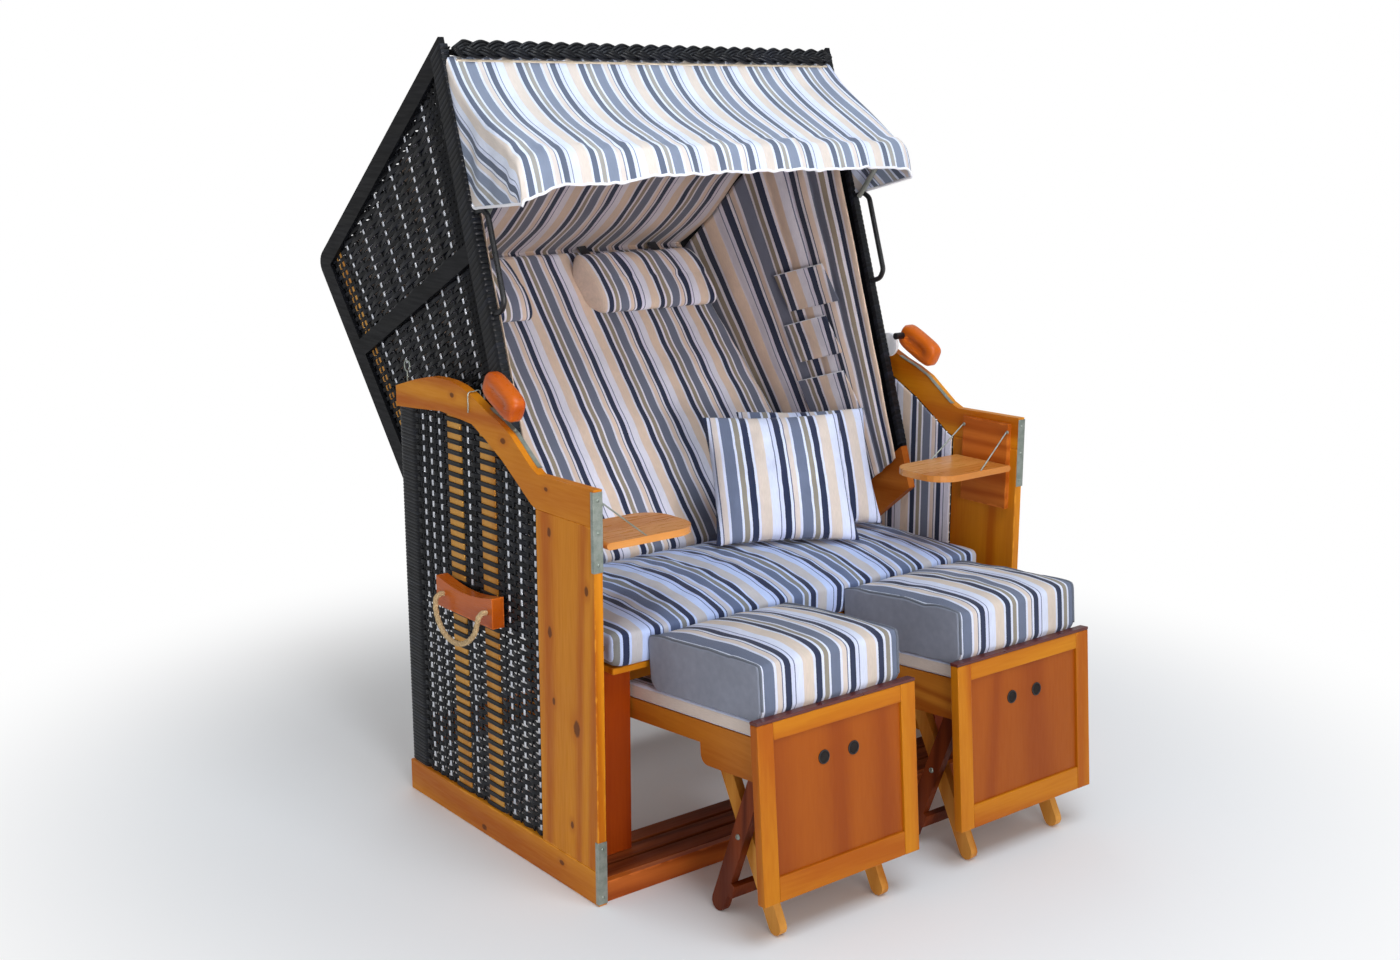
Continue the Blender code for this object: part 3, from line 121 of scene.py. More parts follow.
@dataclass(frozen=True)
class TiltedFrame:
    """A frame turned about the cross axis: v runs back along it and w runs up it."""

    y: float
    z: float
    lean: float
    x: float = 0.0

    def place(self, x: Floats | float, v: Floats | float, w: Floats | float) -> Floats:
        """Points on the ground frame: y + v cos + w sin, z - v sin + w cos.

        Args:
            x: place across the chair.
            v: place back along the frame.
            w: place up the frame.

        Returns:
            Points with the shape of the inputs and three columns.
        """
        cosine, sine = math.cos(math.radians(self.lean)), math.sin(math.radians(self.lean))
        across, back, up = np.broadcast_arrays(*(np.asarray(k, float) for k in (x, v, w)))
        y = self.y + back * cosine + up * sine
        z = self.z - back * sine + up * cosine
        return np.stack([across + self.x, y, z], axis=-1)

    def turned(self, x: Floats | float, v: Floats | float, w: Floats | float) -> Floats:
        """A direction of the frame as a direction of the ground frame."""
        return self.place(x, v, w) - self.place(0.0, 0.0, 0.0)


GROUND = TiltedFrame(0.0, 0.0, 0.0)
HOOD = TiltedFrame(0.1222, 0.5001, 39.3)
DRAWER_MIDDLE = 0.259
DRAWER_FRONT, DRAWER_TOP, DRAWER_LEAN = -0.7378, 0.4371, 4.5
BASE_FRONT = -0.4278  # front face of the base sides


def drawer_frame(side: Side) -> TiltedFrame:
    """Frame of one footrest drawer, from the top front edge of its panel."""
    return TiltedFrame(DRAWER_FRONT, DRAWER_TOP, DRAWER_LEAN, side.value * DRAWER_MIDDLE)


def paint(red: int, green: int, blue: int) -> Colour:
    """A colour as it looks on a screen, turned to linear light."""
    shares = np.array((red, green, blue)) / 255
    linear = np.where(shares <= 0.04045, shares / 12.92, ((shares + 0.055) / 1.055) ** 2.4)
    return tuple(float(k) for k in linear)


# Shapes


@dataclass
class Shape:
    """Points and faces of a piece before it becomes a mesh.

    The lay gives each point's own place on its cloth or along its strand, in metres.
    """

    points: Floats
    quads: Floats
    caps: list[list[int]]
    lay: Floats

    def __add__(self, other: Shape) -> Shape:
        """Both shapes as one, the faces of the second numbered after the first."""
        start = len(self.points)
        return Shape(
            np.vstack([self.points, other.points]), np.vstack([self.quads, other.quads + start]),
            self.caps + [[k + start for k in cap] for cap in other.caps],
            np.vstack([self.lay, other.lay]))


def joined(shapes: Sequence[Shape]) -> Shape:
    """Several shapes as one."""
    return functools.reduce(Shape.__add__, shapes)


def grid_quads(rows: int, cols: int, wrap: bool = False) -> Floats:
    """Faces of a grid of points that are numbered row by row; wrap joins the last column
    to the first."""
    row, col = np.meshgrid(
        np.arange(rows - 1), np.arange(cols if wrap else cols - 1), indexing="ij")
    after = (col + 1) % cols
    corners = [
        row * cols + col, row * cols + after, (row + 1) * cols + after, (row + 1) * cols + col]
    return np.stack(corners, axis=-1).reshape(-1, 4)


def grid_shape(points: Floats, lay: Floats) -> Shape:
    """An open sheet on a grid of points; lay has the grid's shape and two or three columns."""
    rows, cols = points.shape[:2]
    flat = lay.reshape(rows * cols, -1)
    flat = np.hstack([flat, np.zeros((len(flat), 3 - flat.shape[1]))])
    return Shape(points.reshape(-1, 3), grid_quads(rows, cols), [], flat)


def bars(centre: Floats, across: Floats, out: Floats, profile: Floats) -> Shape:
    """Many strands at once, each a closed profile carried along its own line.

    A point is centre + across * first profile column + out * second profile column.

    Args:
        centre: lines, as strands by steps by three.
        across: direction of the profile's first column, broadcast to centre.
        out: direction of its second column, broadcast to centre.
        profile: closed outline of the strand, as points by two.

    Returns:
        The strands with closed ends; their lay is the distance along, the place across
        and the number of the strand.
    """
    count, steps = centre.shape[:2]
    sides = len(profile)
    across = np.broadcast_to(across, centre.shape)[:, :, None]
    out = np.broadcast_to(out, centre.shape)[:, :, None]
    points = centre[:, :, None] + across * profile[:, :1] + out * profile[:, 1:]
    run = np.linalg.norm(np.diff(centre, axis=1, prepend=centre[:, :1]), axis=2).cumsum(axis=1)
    lay = np.stack(
        np.broadcast_arrays(
            run[:, :, None], profile[:, 0], np.arange(count)[:, None, None] * 0.137), axis=-1)
    first = np.arange(count)[:, None, None] * steps * sides
    quads = (grid_quads(steps, sides, wrap=True)[None] + first).reshape(-1, 4)
    starts = np.arange(count)[:, None] * steps * sides + np.arange(sides)
    caps = starts[:, ::-1].tolist() + (starts + (steps - 1) * sides).tolist()
    return Shape(points.reshape(-1, 3), quads, caps, lay.reshape(-1, 3))


def ring_stack(rings: Floats, lay: Floats | None = None) -> Shape:
    """A closed body through rings of points with a flat face over each end.

    Args:
        rings: points, as rings by points of a ring by three.
        lay: lay of the points; without one it is their own places.

    Returns:
        The closed body.
    """
    count, sides = rings.shape[:2]
    last = (count - 1) * sides
    caps = [list(range(sides))[::-1], list(range(last, last + sides))]
    lay = rings if lay is None else lay
    return Shape(
        rings.reshape(-1, 3), grid_quads(count, sides, wrap=True), caps, lay.reshape(-1, 3).copy())


def round_profile(sides: int, wide: float, deep: float) -> Floats:
    """Points on an ellipse of the given width and depth."""
    turn = np.linspace(0, 2 * math.pi, sides, endpoint=False)
    return np.stack([wide / 2 * np.cos(turn), deep / 2 * np.sin(turn)], axis=1)


def tube(
        path: Floats, radius: Floats | float, sides: int = 16, lobes: int = 0, twist: float = 0.0,
        lobe_depth: float = 0.0) -> Shape:
    """A round bar along a path, or a twisted rope when it has lobes.

    A point is path + r (side cos a + rise sin a). With lobes, r shrinks between the
    strands by lobe_depth * (1 - |cos(lobes (a - twist * run) / 2)|).

    Args:
        path: points by three.
        radius: one radius, or one for each point.
        sides: points round the bar.
        lobes: strands of a rope, or none.
        twist: turn of the strands in radians per metre.
        lobe_depth: depth of the groove between two strands.

    Returns:
        The closed bar.
    """
    path = np.asarray(path, float)
    along = np.gradient(path, axis=0)
    along /= np.linalg.norm(along, axis=1, keepdims=True)
    reference = np.eye(3)[np.argmin(np.abs(along).max(axis=0))]
    side = np.cross(along, reference)
    side /= np.linalg.norm(side, axis=1, keepdims=True)
    rise = np.cross(along, side)
    run = np.linalg.norm(np.diff(path, axis=0, prepend=path[:1]), axis=1).cumsum()
    turn = np.linspace(0, 2 * math.pi, sides, endpoint=False)[None, :]
    size = np.broadcast_to(np.asarray(radius, float), (len(path),))[:, None]
    if lobes:
        size = size - lobe_depth * (1 - np.abs(np.cos(lobes / 2 * (turn - twist * run[:, None]))))
    size = np.broadcast_to(size, (len(path), sides))[..., None]
    points = path[:, None] + size * (
        side[:, None] * np.cos(turn)[..., None] + rise[:, None] * np.sin(turn)[..., None])
    return ring_stack(
        points, np.stack(np.broadcast_arrays(run[:, None], turn * size.mean(), 0.0), axis=-1))


def board(frame: TiltedFrame, low: Point, high: Point) -> Shape:
    """A sawn board between two corners of a frame."""
    (x0, y0, z0), (x1, y1, z1) = low, high
    corners = np.array([(x, y, z) for x in (x0, x1) for y in (y0, y1) for z in (z0, z1)])
    faces = np.array(
        [(0, 1, 3, 2), (4, 6, 7, 5), (0, 4, 5, 1), (2, 3, 7, 6), (0, 2, 6, 4), (1, 5, 7, 3)])
    return Shape(frame.place(*corners.T), faces, [], corners)


def curve_through(knots: Sequence[Sequence[float]], step: float) -> Floats:
    """Points at even spacing on the smooth curve through the knots.

    Between knots b and c, with neighbours a and d, the curve is
    (2b + (c - a)t + (2a - 5b + 4c - d)t^2 + (3b - a - 3c + d)t^3) / 2.
    """
    pts = np.asarray(knots, float)
    pts = np.vstack([2 * pts[0] - pts[1], pts, 2 * pts[-1] - pts[-2]])
    t = np.linspace(0, 1, 32, endpoint=False)[None, :, None]
    a, b, c, d = (pts[k:len(pts) - 3 + k][:, None] for k in range(4))
    fine = 0.5 * (
        2 * b + (c - a) * t + (2 * a - 5 * b + 4 * c - d) * t ** 2
        + (3 * b - a - 3 * c + d) * t ** 3)
    fine = np.vstack([fine.reshape(-1, pts.shape[1]), pts[-2]])
    run = np.concatenate([[0.0], np.linalg.norm(np.diff(fine, axis=0), axis=1).cumsum()])
    places = np.linspace(0, run[-1], max(int(round(run[-1] / step)), 2) + 1)
    return np.stack([np.interp(places, run, column) for column in fine.T], axis=1)


def ripple(u: Floats, v: Floats, seed: int, scale: float) -> Floats:
    """A smooth uneven field between about -1 and 1: the sum of eight sine waves whose
    directions and phases follow the seed and whose mean wavelength is scale."""
    rng = np.random.default_rng(seed)
    total = np.zeros(np.broadcast_shapes(np.shape(u), np.shape(v)))
    for _ in range(8):
        turn = rng.uniform(0, math.pi)
        phase = rng.uniform(0, 2 * math.pi)
        stretch = rng.uniform(0.6, 1.7)
        wave = 2 * math.pi * stretch / scale
        total += np.sin(wave * (np.cos(turn) * u + np.sin(turn) * v) + phase)
    return total / 4


# Shader nodes


class Graph:
    """Short calls that add nodes to one node tree and wire them."""

    def __init__(self, tree: bpy.types.NodeTree) -> None:
        """Starts on an existing tree."""
        self.tree = tree

    def wire(self, socket: Socket, value: Value) -> None:
        """Links a socket to another, or sets its constant."""
        if isinstance(value, Socket):
            self.tree.links.new(value, socket)
        elif isinstance(value, tuple) and len(value) == 3 and socket.type == "RGBA":
            socket.default_value = (*value, 1.0)
        else:
            socket.default_value = value

    def put(
            self, kind: str, sockets: dict[str | int, Value] | None = None,
            **settings: object) -> bpy.types.Node:
        """Adds a node with its settings and its wired or constant sockets."""
        node = self.tree.nodes.new(kind)
        for key, value in settings.items():
            setattr(node, key, value)
        for key, value in (sockets or {}).items():
            self.wire(node.inputs[key], value)
        return node

    def maths(self, operation: str, *values: Value) -> Socket:
        """One step of arithmetic."""
        return self.put("ShaderNodeMath", dict(enumerate(values)), operation=operation).outputs[0]

    def vector(self, operation: str, *values: Value) -> Socket:
        """One step of vector arithmetic."""
        node = self.put("ShaderNodeVectorMath", dict(enumerate(values)), operation=operation)
        return node.outputs["Value" if operation == "LENGTH" else "Vector"]

    def mix(self, factor: Value, first: Value, second: Value, blend: str = "MIX") -> Socket:
        """A mix of two colours."""
        sockets = {0: factor, 6: first, 7: second}
        return self.put("ShaderNodeMix", sockets, data_type="RGBA", blend_type=blend).outputs[2]

    def noise(self, place: Value, scale: float, detail: float = 2.0, warp: float = 0.0) -> Socket:
        """An uneven field from 0 to 1."""
        sockets = {"Vector": place, "Scale": scale, "Detail": detail, "Distortion": warp}
        return self.put("ShaderNodeTexNoise", sockets).outputs[0]

    def spread(
            self, value: Value, low: float, high: float, to_low: float = 0.0,
            to_high: float = 1.0) -> Socket:
        """A value carried from one range to another and held at its ends, eased between."""
        sockets = dict(enumerate((value, low, high, to_low, to_high)))
        return self.put("ShaderNodeMapRange", sockets, interpolation_type="SMOOTHSTEP").outputs[0]

    def ramp(
            self, value: Value, stops: Sequence[tuple[float, Colour]],
            stepped: bool = False) -> Socket:
        """A colour looked up along stops."""
        node = self.put("ShaderNodeValToRGB", {"Fac": value})
        node.color_ramp.interpolation = "CONSTANT" if stepped else "LINEAR"
        elements = node.color_ramp.elements
        elements.remove(elements[1])
        elements[0].position, elements[0].color = stops[0][0], (*stops[0][1], 1.0)
        for place, colour in stops[1:]:
            elements.new(place).color = (*colour, 1.0)
        return node.outputs[0]

    def parts(self, vector: Value) -> bpy.types.Node:
        """A vector split into X, Y and Z."""
        return self.put("ShaderNodeSeparateXYZ", {"Vector": vector})

    def lay(self) -> Socket:
        """The piece's own lay attribute."""
        return self.put("ShaderNodeAttribute", attribute_name=LAY).outputs["Vector"]

    def object_place(self) -> Socket:
        """The point in the piece's own coordinates, which are the chair's."""
        return self.put("ShaderNodeTexCoord").outputs["Object"]

    def group(self, tree: bpy.types.NodeTree, sockets: dict[str, Value]) -> bpy.types.Node:
        """Places a shared group with its own values."""
        return self.put("ShaderNodeGroup", sockets, node_tree=tree)


class GroupMaker:
    """A new shader node group with named sockets."""

    def __init__(
            self, name: str, inputs: dict[str, Value], outputs: Sequence[str],
            kind: str = "Float") -> None:
        """Makes the group and its two end nodes; inputs have defaults, and kind is that of
        the outputs."""
        self.tree = bpy.data.node_groups.new(name, "ShaderNodeTree")
        sockets = self.tree.interface
        for label, default in inputs.items():
            sort = "Float" if isinstance(default, float) else "Vector"
            made = sockets.new_socket(name=label, in_out="INPUT", socket_type=f"NodeSocket{sort}")
            made.default_value = default
        for label in outputs:
            sockets.new_socket(name=label, in_out="OUTPUT", socket_type=f"NodeSocket{kind}")
        self.graph = Graph(self.tree)
        self.given = self.tree.nodes.new("NodeGroupInput").outputs
        self.result = self.tree.nodes.new("NodeGroupOutput").inputs

    def give(self, label: str, socket: Socket) -> None:
        """Sends a value out of the group."""
        self.graph.wire(self.result[label], socket)


@functools.cache
def grain_group() -> bpy.types.NodeTree:
    """Wood grain: dark growth lines are level lines of a field stretched along the board,
    with fine fibres over them."""
    made = GroupMaker("board_grain", {"Place": ORIGIN, "Lines": 11.0}, ("Tone", "Fibre"))
    g, given = made.graph, made.given
    field = g.noise(g.vector("MULTIPLY", given["Place"], (4.0, 4.0, 4.0)), 1.0, 1.0, 0.4)
    wave = g.maths(
        "SINE", g.maths("MULTIPLY", g.maths("MULTIPLY", field, given["Lines"]), 2 * math.pi))
    lines = g.maths("POWER", g.maths("MULTIPLY_ADD", wave, 0.5, 0.5), 1.6)
    fibre = g.noise(given["Place"], 190.0, 3.0)
    broad = g.noise(given["Place"], 22.0, 2.0)
    tone = g.maths(
        "MULTIPLY_ADD", lines, 0.42,
        g.maths("MULTIPLY_ADD", fibre, 0.3, g.maths("MULTIPLY", broad, 0.4)))
    made.give("Tone", tone)
    made.give("Fibre", fibre)
    return made.tree


@functools.cache
def knot_group() -> bpy.types.NodeTree:
    """A knot: a dark oval eye in a lighter ring, by distance from its centre."""
    made = GroupMaker(
        "knot", {"Place": ORIGIN, "Centre": ORIGIN, "Stretch": UNIT, "Size": 0.006},
        ("Eye", "Ring"))
    g, given = made.graph, made.given
    off = g.vector(
        "MULTIPLY", g.vector("SUBTRACT", given["Place"], given["Centre"]), given["Stretch"])
    wobble = g.maths("MULTIPLY", g.maths("SUBTRACT", g.noise(given["Place"], 150.0), 0.5), 0.5)
    reach = g.maths("ADD", g.maths("DIVIDE", g.vector("LENGTH", off), given["Size"]), wobble)
    made.give("Eye", g.spread(reach, 0.75, 1.25, 1.0, 0.0))
    made.give("Ring", g.spread(reach, 1.2, 3.2, 1.0, 0.0))
    return made.tree


@functools.cache
def edge_group() -> bpy.types.NodeTree:
    """How near a point of a board is to an edge of its box, from 0 to 1: the middle one of
    its three distances to the box's faces, set against a reach."""
    made = GroupMaker(
        "edge_wear", {"Place": ORIGIN, "Middle": ORIGIN, "Half": UNIT, "Reach": 0.003}, ("Wear",))
    g, given = made.graph, made.given
    inside = g.vector(
        "SUBTRACT", given["Half"],
        g.vector("ABSOLUTE", g.vector("SUBTRACT", given["Place"], given["Middle"])))
    x, y, z = g.parts(inside).outputs
    middle = g.maths(
        "MAXIMUM", g.maths("MINIMUM", x, y), g.maths("MINIMUM", g.maths("MAXIMUM", x, y), z))
    ragged = g.maths(
        "MULTIPLY", given["Reach"],
        g.spread(g.noise(given["Place"], 35.0, 3.0), 0.4, 0.75, 0.3, 2.2))
    made.give(
        "Wear",
        g.maths("SUBTRACT", 1.0, g.maths("MINIMUM", g.maths("DIVIDE", middle, ragged), 1.0)))
    return made.tree


@functools.cache
def thread_group() -> bpy.types.NodeTree:
    """Plain woven cloth: two sets of crossing threads as a height, and a soft random unevenness
    of tone in slubs and broad clouds."""
    made = GroupMaker("woven_cloth", {"Place": ORIGIN, "Threads": 1100.0}, ("Height", "Tone"))
    g, given = made.graph, made.given
    x, y, z = g.parts(given["Place"]).outputs
    along = g.maths(
        "SINE",
        g.maths("MULTIPLY", g.maths("ADD", y, z), g.maths("MULTIPLY", given["Threads"], math.pi)))
    across = g.maths("SINE", g.maths("MULTIPLY", x, g.maths("MULTIPLY", given["Threads"], math.pi)))
    slub = g.noise(g.vector("MULTIPLY", given["Place"], (900.0, 60.0, 60.0)), 1.0, 2.0)
    made.give(
        "Height",
        g.maths(
            "MULTIPLY_ADD", g.maths("ABSOLUTE", g.maths("MULTIPLY", along, across)), 0.6,
            g.maths("MULTIPLY", slub, 0.4)))
    cloud = g.noise(given["Place"], 9.0, 3.0)
    made.give("Tone", g.maths("MULTIPLY_ADD", slub, 0.5, g.maths("MULTIPLY", cloud, 0.5)))
    return made.tree


STRIPES: tuple[tuple[float, Colour], ...] = (
    (25.0, paint(112, 119, 138)), (5.0, paint(238, 238, 246)), (12.0, paint(158, 146, 126)),
    (7.0, paint(236, 236, 245)), (15.0, paint(36, 45, 74)), (6.0, paint(234, 234, 244)),
    (27.0, paint(234, 212, 190)), (20.0, paint(235, 235, 246)), (2.5, paint(116, 122, 148)),
    (9.0, paint(228, 228, 244)), (15.0, paint(36, 45, 74)), (6.0, paint(236, 236, 245)),
    (3.0, paint(112, 114, 134)), (12.0, paint(234, 214, 196)), (6.0, paint(235, 234, 244)))
STRIPE_REPEAT = 0.160


@functools.cache
def stripe_group() -> bpy.types.NodeTree:
    """Woven-in stripes: the place across the cloth, divided by the repeat, is looked up in
    the run of bands."""
    made = GroupMaker("stripes", {"Across": 0.0}, ("Colour",), "Color")
    g, given = made.graph, made.given
    share = g.maths("FRACT", g.maths("DIVIDE", given["Across"], STRIPE_REPEAT))
    widths = np.array([width for width, _ in STRIPES])
    starts = np.concatenate([[0.0], widths.cumsum()[:-1]]) / widths.sum()
    stops = [(float(start), colour) for start, (_, colour) in zip(starts, STRIPES)]
    made.give("Colour", g.ramp(share, stops, stepped=True))
    return made.tree


# Finishes


@dataclass(frozen=True)
class Finish:
    """A finish of the chair; each kind builds one Blender material under its name."""

    name: str

    def material(self) -> bpy.types.Material:
        """The material, built when it is first asked for."""
        found = bpy.data.materials.get(self.name)
        if found is None:
            found = bpy.data.materials.new(self.name)
            found.use_nodes = True
            graph = Graph(found.node_tree)
            self.fill(graph, found.node_tree.nodes["Principled BSDF"])
        return found

    def fill(self, graph: Graph, shader: bpy.types.Node) -> None:
        """Wires the finish into the shader."""
        raise NotImplementedError

    @staticmethod
    def surface(
            graph: Graph, shader: bpy.types.Node, colour: Value, field: Value,
            rough: tuple[float, float], relief: tuple[Value, float, float] | None = None) -> None:
        """Wires the colour, a gloss that follows a field and a bump.

        Args:
            graph: calls on the material's nodes.
            shader: the material's shader.
            colour: base colour.
            field: field from 0 to 1 that the roughness follows.
            rough: roughness where the field is low and where it is high.
            relief: height field, strength and depth in metres of the bump, if any.
        """
        graph.wire(shader.inputs["Base Color"], colour)
        graph.wire(shader.inputs["Roughness"], graph.spread(field, 0.3, 0.7, *rough))
        if relief:
            bump = graph.put(
                "ShaderNodeBump", dict(zip(("Height", "Strength", "Distance"), relief)))
            graph.wire(shader.inputs["Normal"], bump.outputs[0])


@dataclass(frozen=True)
class Wood(Finish):
    """Varnished or stained board with grain along an axis, knots and worn edges."""

    light: Colour = paint(220, 144, 26)
    dark: Colour = paint(182, 96, 8)
    grain: Axis = Axis.Z
    lines: float = 9.0
    knots: tuple[tuple[Point, float], ...] = ()
    middle: Point = (0.0, 0.0, 0.0)
    half: Point = (0.0, 0.0, 0.0)
    rough: float = 0.42
    coat: float = 0.05

    def fill(self, graph: Graph, shader: bpy.types.Node) -> None:
        """Grain, knots and edge wear on the piece's own coordinates."""
        place = graph.object_place()
        stretch = tuple(0.07 if axis is self.grain else 1.0 for axis in Axis)
        stretched = graph.vector("MULTIPLY", place, stretch)
        grain = graph.group(grain_group(), {"Place": stretched, "Lines": self.lines})
        colour = graph.ramp(grain.outputs["Tone"], [(0.22, self.light), (0.78, self.dark)])
        stain = graph.spread(graph.noise(place, 3.0, 3.0), 0.3, 0.75, 0.0, 0.3)
        colour = graph.mix(stain, colour, self.dark)
        oval = tuple(0.62 if axis is self.grain else 1.0 for axis in Axis)
        deep = tuple(k * 0.22 for k in self.dark)
        for centre, size in self.knots:
            knot = graph.group(
                knot_group(), {"Place": place, "Centre": centre, "Size": size, "Stretch": oval})
            colour = graph.mix(
                graph.maths("MULTIPLY", knot.outputs["Ring"], 0.45), colour, self.dark)
            colour = graph.mix(graph.maths("MULTIPLY", knot.outputs["Eye"], 0.85), colour, deep)
        if any(self.half):
            wear = graph.group(
                edge_group(), {"Place": place, "Middle": self.middle, "Half": self.half})
            pale = tuple(min(k * 1.5 + 0.02, 1.0) for k in self.light)
            colour = graph.mix(graph.maths("MULTIPLY", wear.outputs["Wear"], 0.5), colour, pale)
        fibre = grain.outputs["Fibre"]
        self.surface(
            graph, shader, colour, fibre, (self.rough - 0.06, self.rough + 0.1),
            (fibre, 0.25, 0.0006))
        shader.inputs["Specular IOR Level"].default_value = 0.16
        shader.inputs["Coat Weight"].default_value = self.coat
        shader.inputs["Coat Roughness"].default_value = 0.22


@dataclass(frozen=True)
class Strand(Finish):
    """Plastic rattan strand with fine lines along it; its lay gives along and across."""

    colour: Colour = paint(9, 10, 13)
    tint: Colour = paint(24, 27, 36)
    rough: float = 0.40

    def fill(self, graph: Graph, shader: bpy.types.Node) -> None:
        """Lines along the strand and a change of tone from strand to strand."""
        lay = graph.lay()
        lines = graph.noise(graph.vector("MULTIPLY", lay, (14.0, 900.0, 9.0)), 1.0, 2.0)
        tone = graph.spread(
            graph.noise(graph.vector("MULTIPLY", lay, (9.0, 60.0, 31.0)), 1.0, 2.0), 0.35, 0.8)
        self.surface(
            graph, shader, graph.mix(tone, self.colour, self.tint), lines,
            (self.rough - 0.08, self.rough + 0.14), (lines, 0.35, 0.0005))
        shader.inputs["Specular IOR Level"].default_value = 0.30


@dataclass(frozen=True)
class Metal(Finish):
    """Metal with a mottled surface: galvanised, or painted when metallic is 0."""

    colour: Colour = paint(168, 174, 166)
    spot: Colour = paint(146, 156, 146)
    metallic: float = 0.9
    rough: float = 0.4

    def fill(self, graph: Graph, shader: bpy.types.Node) -> None:
        """Blotches of tone and gloss with faint scratches."""
        place = graph.object_place()
        blotch = graph.spread(graph.noise(place, 70.0, 3.0), 0.3, 0.72)
        scratch = graph.noise(graph.vector("MULTIPLY", place, (500.0, 40.0, 500.0)), 1.0, 2.0)
        self.surface(
            graph, shader, graph.mix(blotch, self.colour, self.spot), scratch,
            (self.rough - 0.1, self.rough + 0.15), (scratch, 0.15, 0.0004))
        shader.inputs["Metallic"].default_value = self.metallic


@dataclass(frozen=True)
class Cloth(Finish):
    """Woven cloth, striped or plain; its lay gives the place across and along the cloth, and its
    shade, tint and wash paint light and shade into its colour.
    """

    plain: Colour | None = None
    shift: float = 0.0
    shade: float = 1.0
    painted_tint: Colour = (1.0, 1.0, 1.0)
    panel: bool = False
    painted_light_wash: float = 0.0

    def fill(self, graph: Graph, shader: bpy.types.Node) -> None:
        """Stripes or one dye with a random unevenness of tone, painted light and shade multiplied
        in, and threads as bump.
        """
        lay = graph.lay()
        threads = graph.group(thread_group(), {"Place": lay})
        if self.plain is None:
            across = graph.maths("ADD", graph.parts(lay).outputs[0], self.shift)
            waver = graph.maths(
                "MULTIPLY", graph.maths("SUBTRACT", graph.noise(lay, 420.0), 0.5), 0.0011)
            colour = graph.group(
                stripe_group(), {"Across": graph.maths("ADD", across, waver)}).outputs["Colour"]
        else:
            colour = self.plain
        # Painted light: a wash of pale blue over the colour stands for strong light falling on the
        # cloth.
        if self.painted_light_wash:
            colour = graph.mix(self.painted_light_wash, colour, paint(214, 226, 244))
        if self.panel:
            edge = graph.put("ShaderNodeAttribute", attribute_name="side_panel").outputs["Fac"]
            colour = graph.mix(graph.maths("GREATER_THAN", edge, 0.0), colour, paint(150, 152, 162))
        # Painted light and shade: the shade and the tint make the whole cloth darker or lighter and
        # warmer or cooler, as the light falls on it.
        low = tuple(0.80 * self.shade * k for k in self.painted_tint)
        high = tuple(1.06 * self.shade * k for k in self.painted_tint)
        tone = graph.ramp(threads.outputs["Tone"], [(0.3, low), (0.7, high)])
        self.surface(
            graph, shader, graph.mix(1.0, colour, tone, "MULTIPLY"), threads.outputs["Tone"],
            (0.82, 0.95), (threads.outputs["Height"], 0.3, 0.0007))
        shader.inputs["Sheen Weight"].default_value = 0.12


@dataclass(frozen=True)
class Fibre(Finish):
    """Natural rope fibre, running in fine lines round the twist."""

    colour: Colour = paint(206, 180, 138)
    dark: Colour = paint(150, 116, 72)

    def fill(self, graph: Graph, shader: bpy.types.Node) -> None:
        """Fibres along the lay; the colour darkens where the bump is low, partly the fibres' own
        tone and partly painted shade in the grooves.
        """
        fibre = graph.noise(graph.vector("MULTIPLY", graph.lay(), (260.0, 520.0, 1.0)), 1.0, 3.0)
        self.surface(
            graph, shader, graph.ramp(fibre, [(0.3, self.dark), (0.6, self.colour)]), fibre,
            (0.8, 0.95), (fibre, 0.5, 0.0009))


@dataclass(frozen=True)
class Plain(Finish):
    """Moulded plastic or paint with a slightly uneven gloss."""

    colour: Colour = paint(235, 235, 238)
    rough: float = 0.4

    def fill(self, graph: Graph, shader: bpy.types.Node) -> None:
        """One dye with faint dirt."""
        cloud = graph.noise(graph.object_place(), 40.0, 3.0)
        dark = tuple(k * 0.8 for k in self.colour)
        self.surface(
            graph, shader, graph.ramp(cloud, [(0.35, dark), (0.6, self.colour)]), cloud,
            (self.rough - 0.08, self.rough + 0.1))


BLACK_STRAND = Strand("black_strand")
WHITE_STRAND = Strand("white_strand", paint(232, 235, 242), paint(205, 210, 222), 0.42)
GOLD_SLAT = Wood("golden_slat", paint(222, 168, 84), paint(186, 122, 44), Axis.Z, rough=0.45)
STEEL = Metal("galvanised_steel")
BLACK_PAINT = Metal("black_paint", paint(18, 19, 23), paint(12, 13, 16), 0.0, 0.35)
ROPE_FIBRE = Fibre("rope_fibre")
WHITE_PLASTIC = Plain("white_plastic")
BLACK_PLASTIC = Plain("black_plastic", paint(26, 26, 29))
STRIPED = Cloth("stripe_weave", painted_tint=(1.0, 0.98, 1.0))
# Painted shade: the seat cloth is darkened and blued as if lying in the shade of a blue sky.
SEAT_CLOTH_PAINTED_SHADE = Cloth("seat_weave", shade=0.95, painted_tint=(0.66, 0.80, 1.08))
# Painted light: the cloth of the pillows and thin pads is cooled as if lit by a blue sky.
PAINTED_SKYLIGHT_CLOTH = Cloth("weave_painted_skylight", shade=0.97, painted_tint=(0.88, 0.95, 1.08))
BLACK_TAPE = Cloth("black_tape", paint(30, 31, 37))
ORANGE = Wood(
    "orange_varnish", paint(212, 106, 22), paint(180, 76, 8), Axis.Y, 6.0, rough=0.3, coat=0.3)


# Pieces


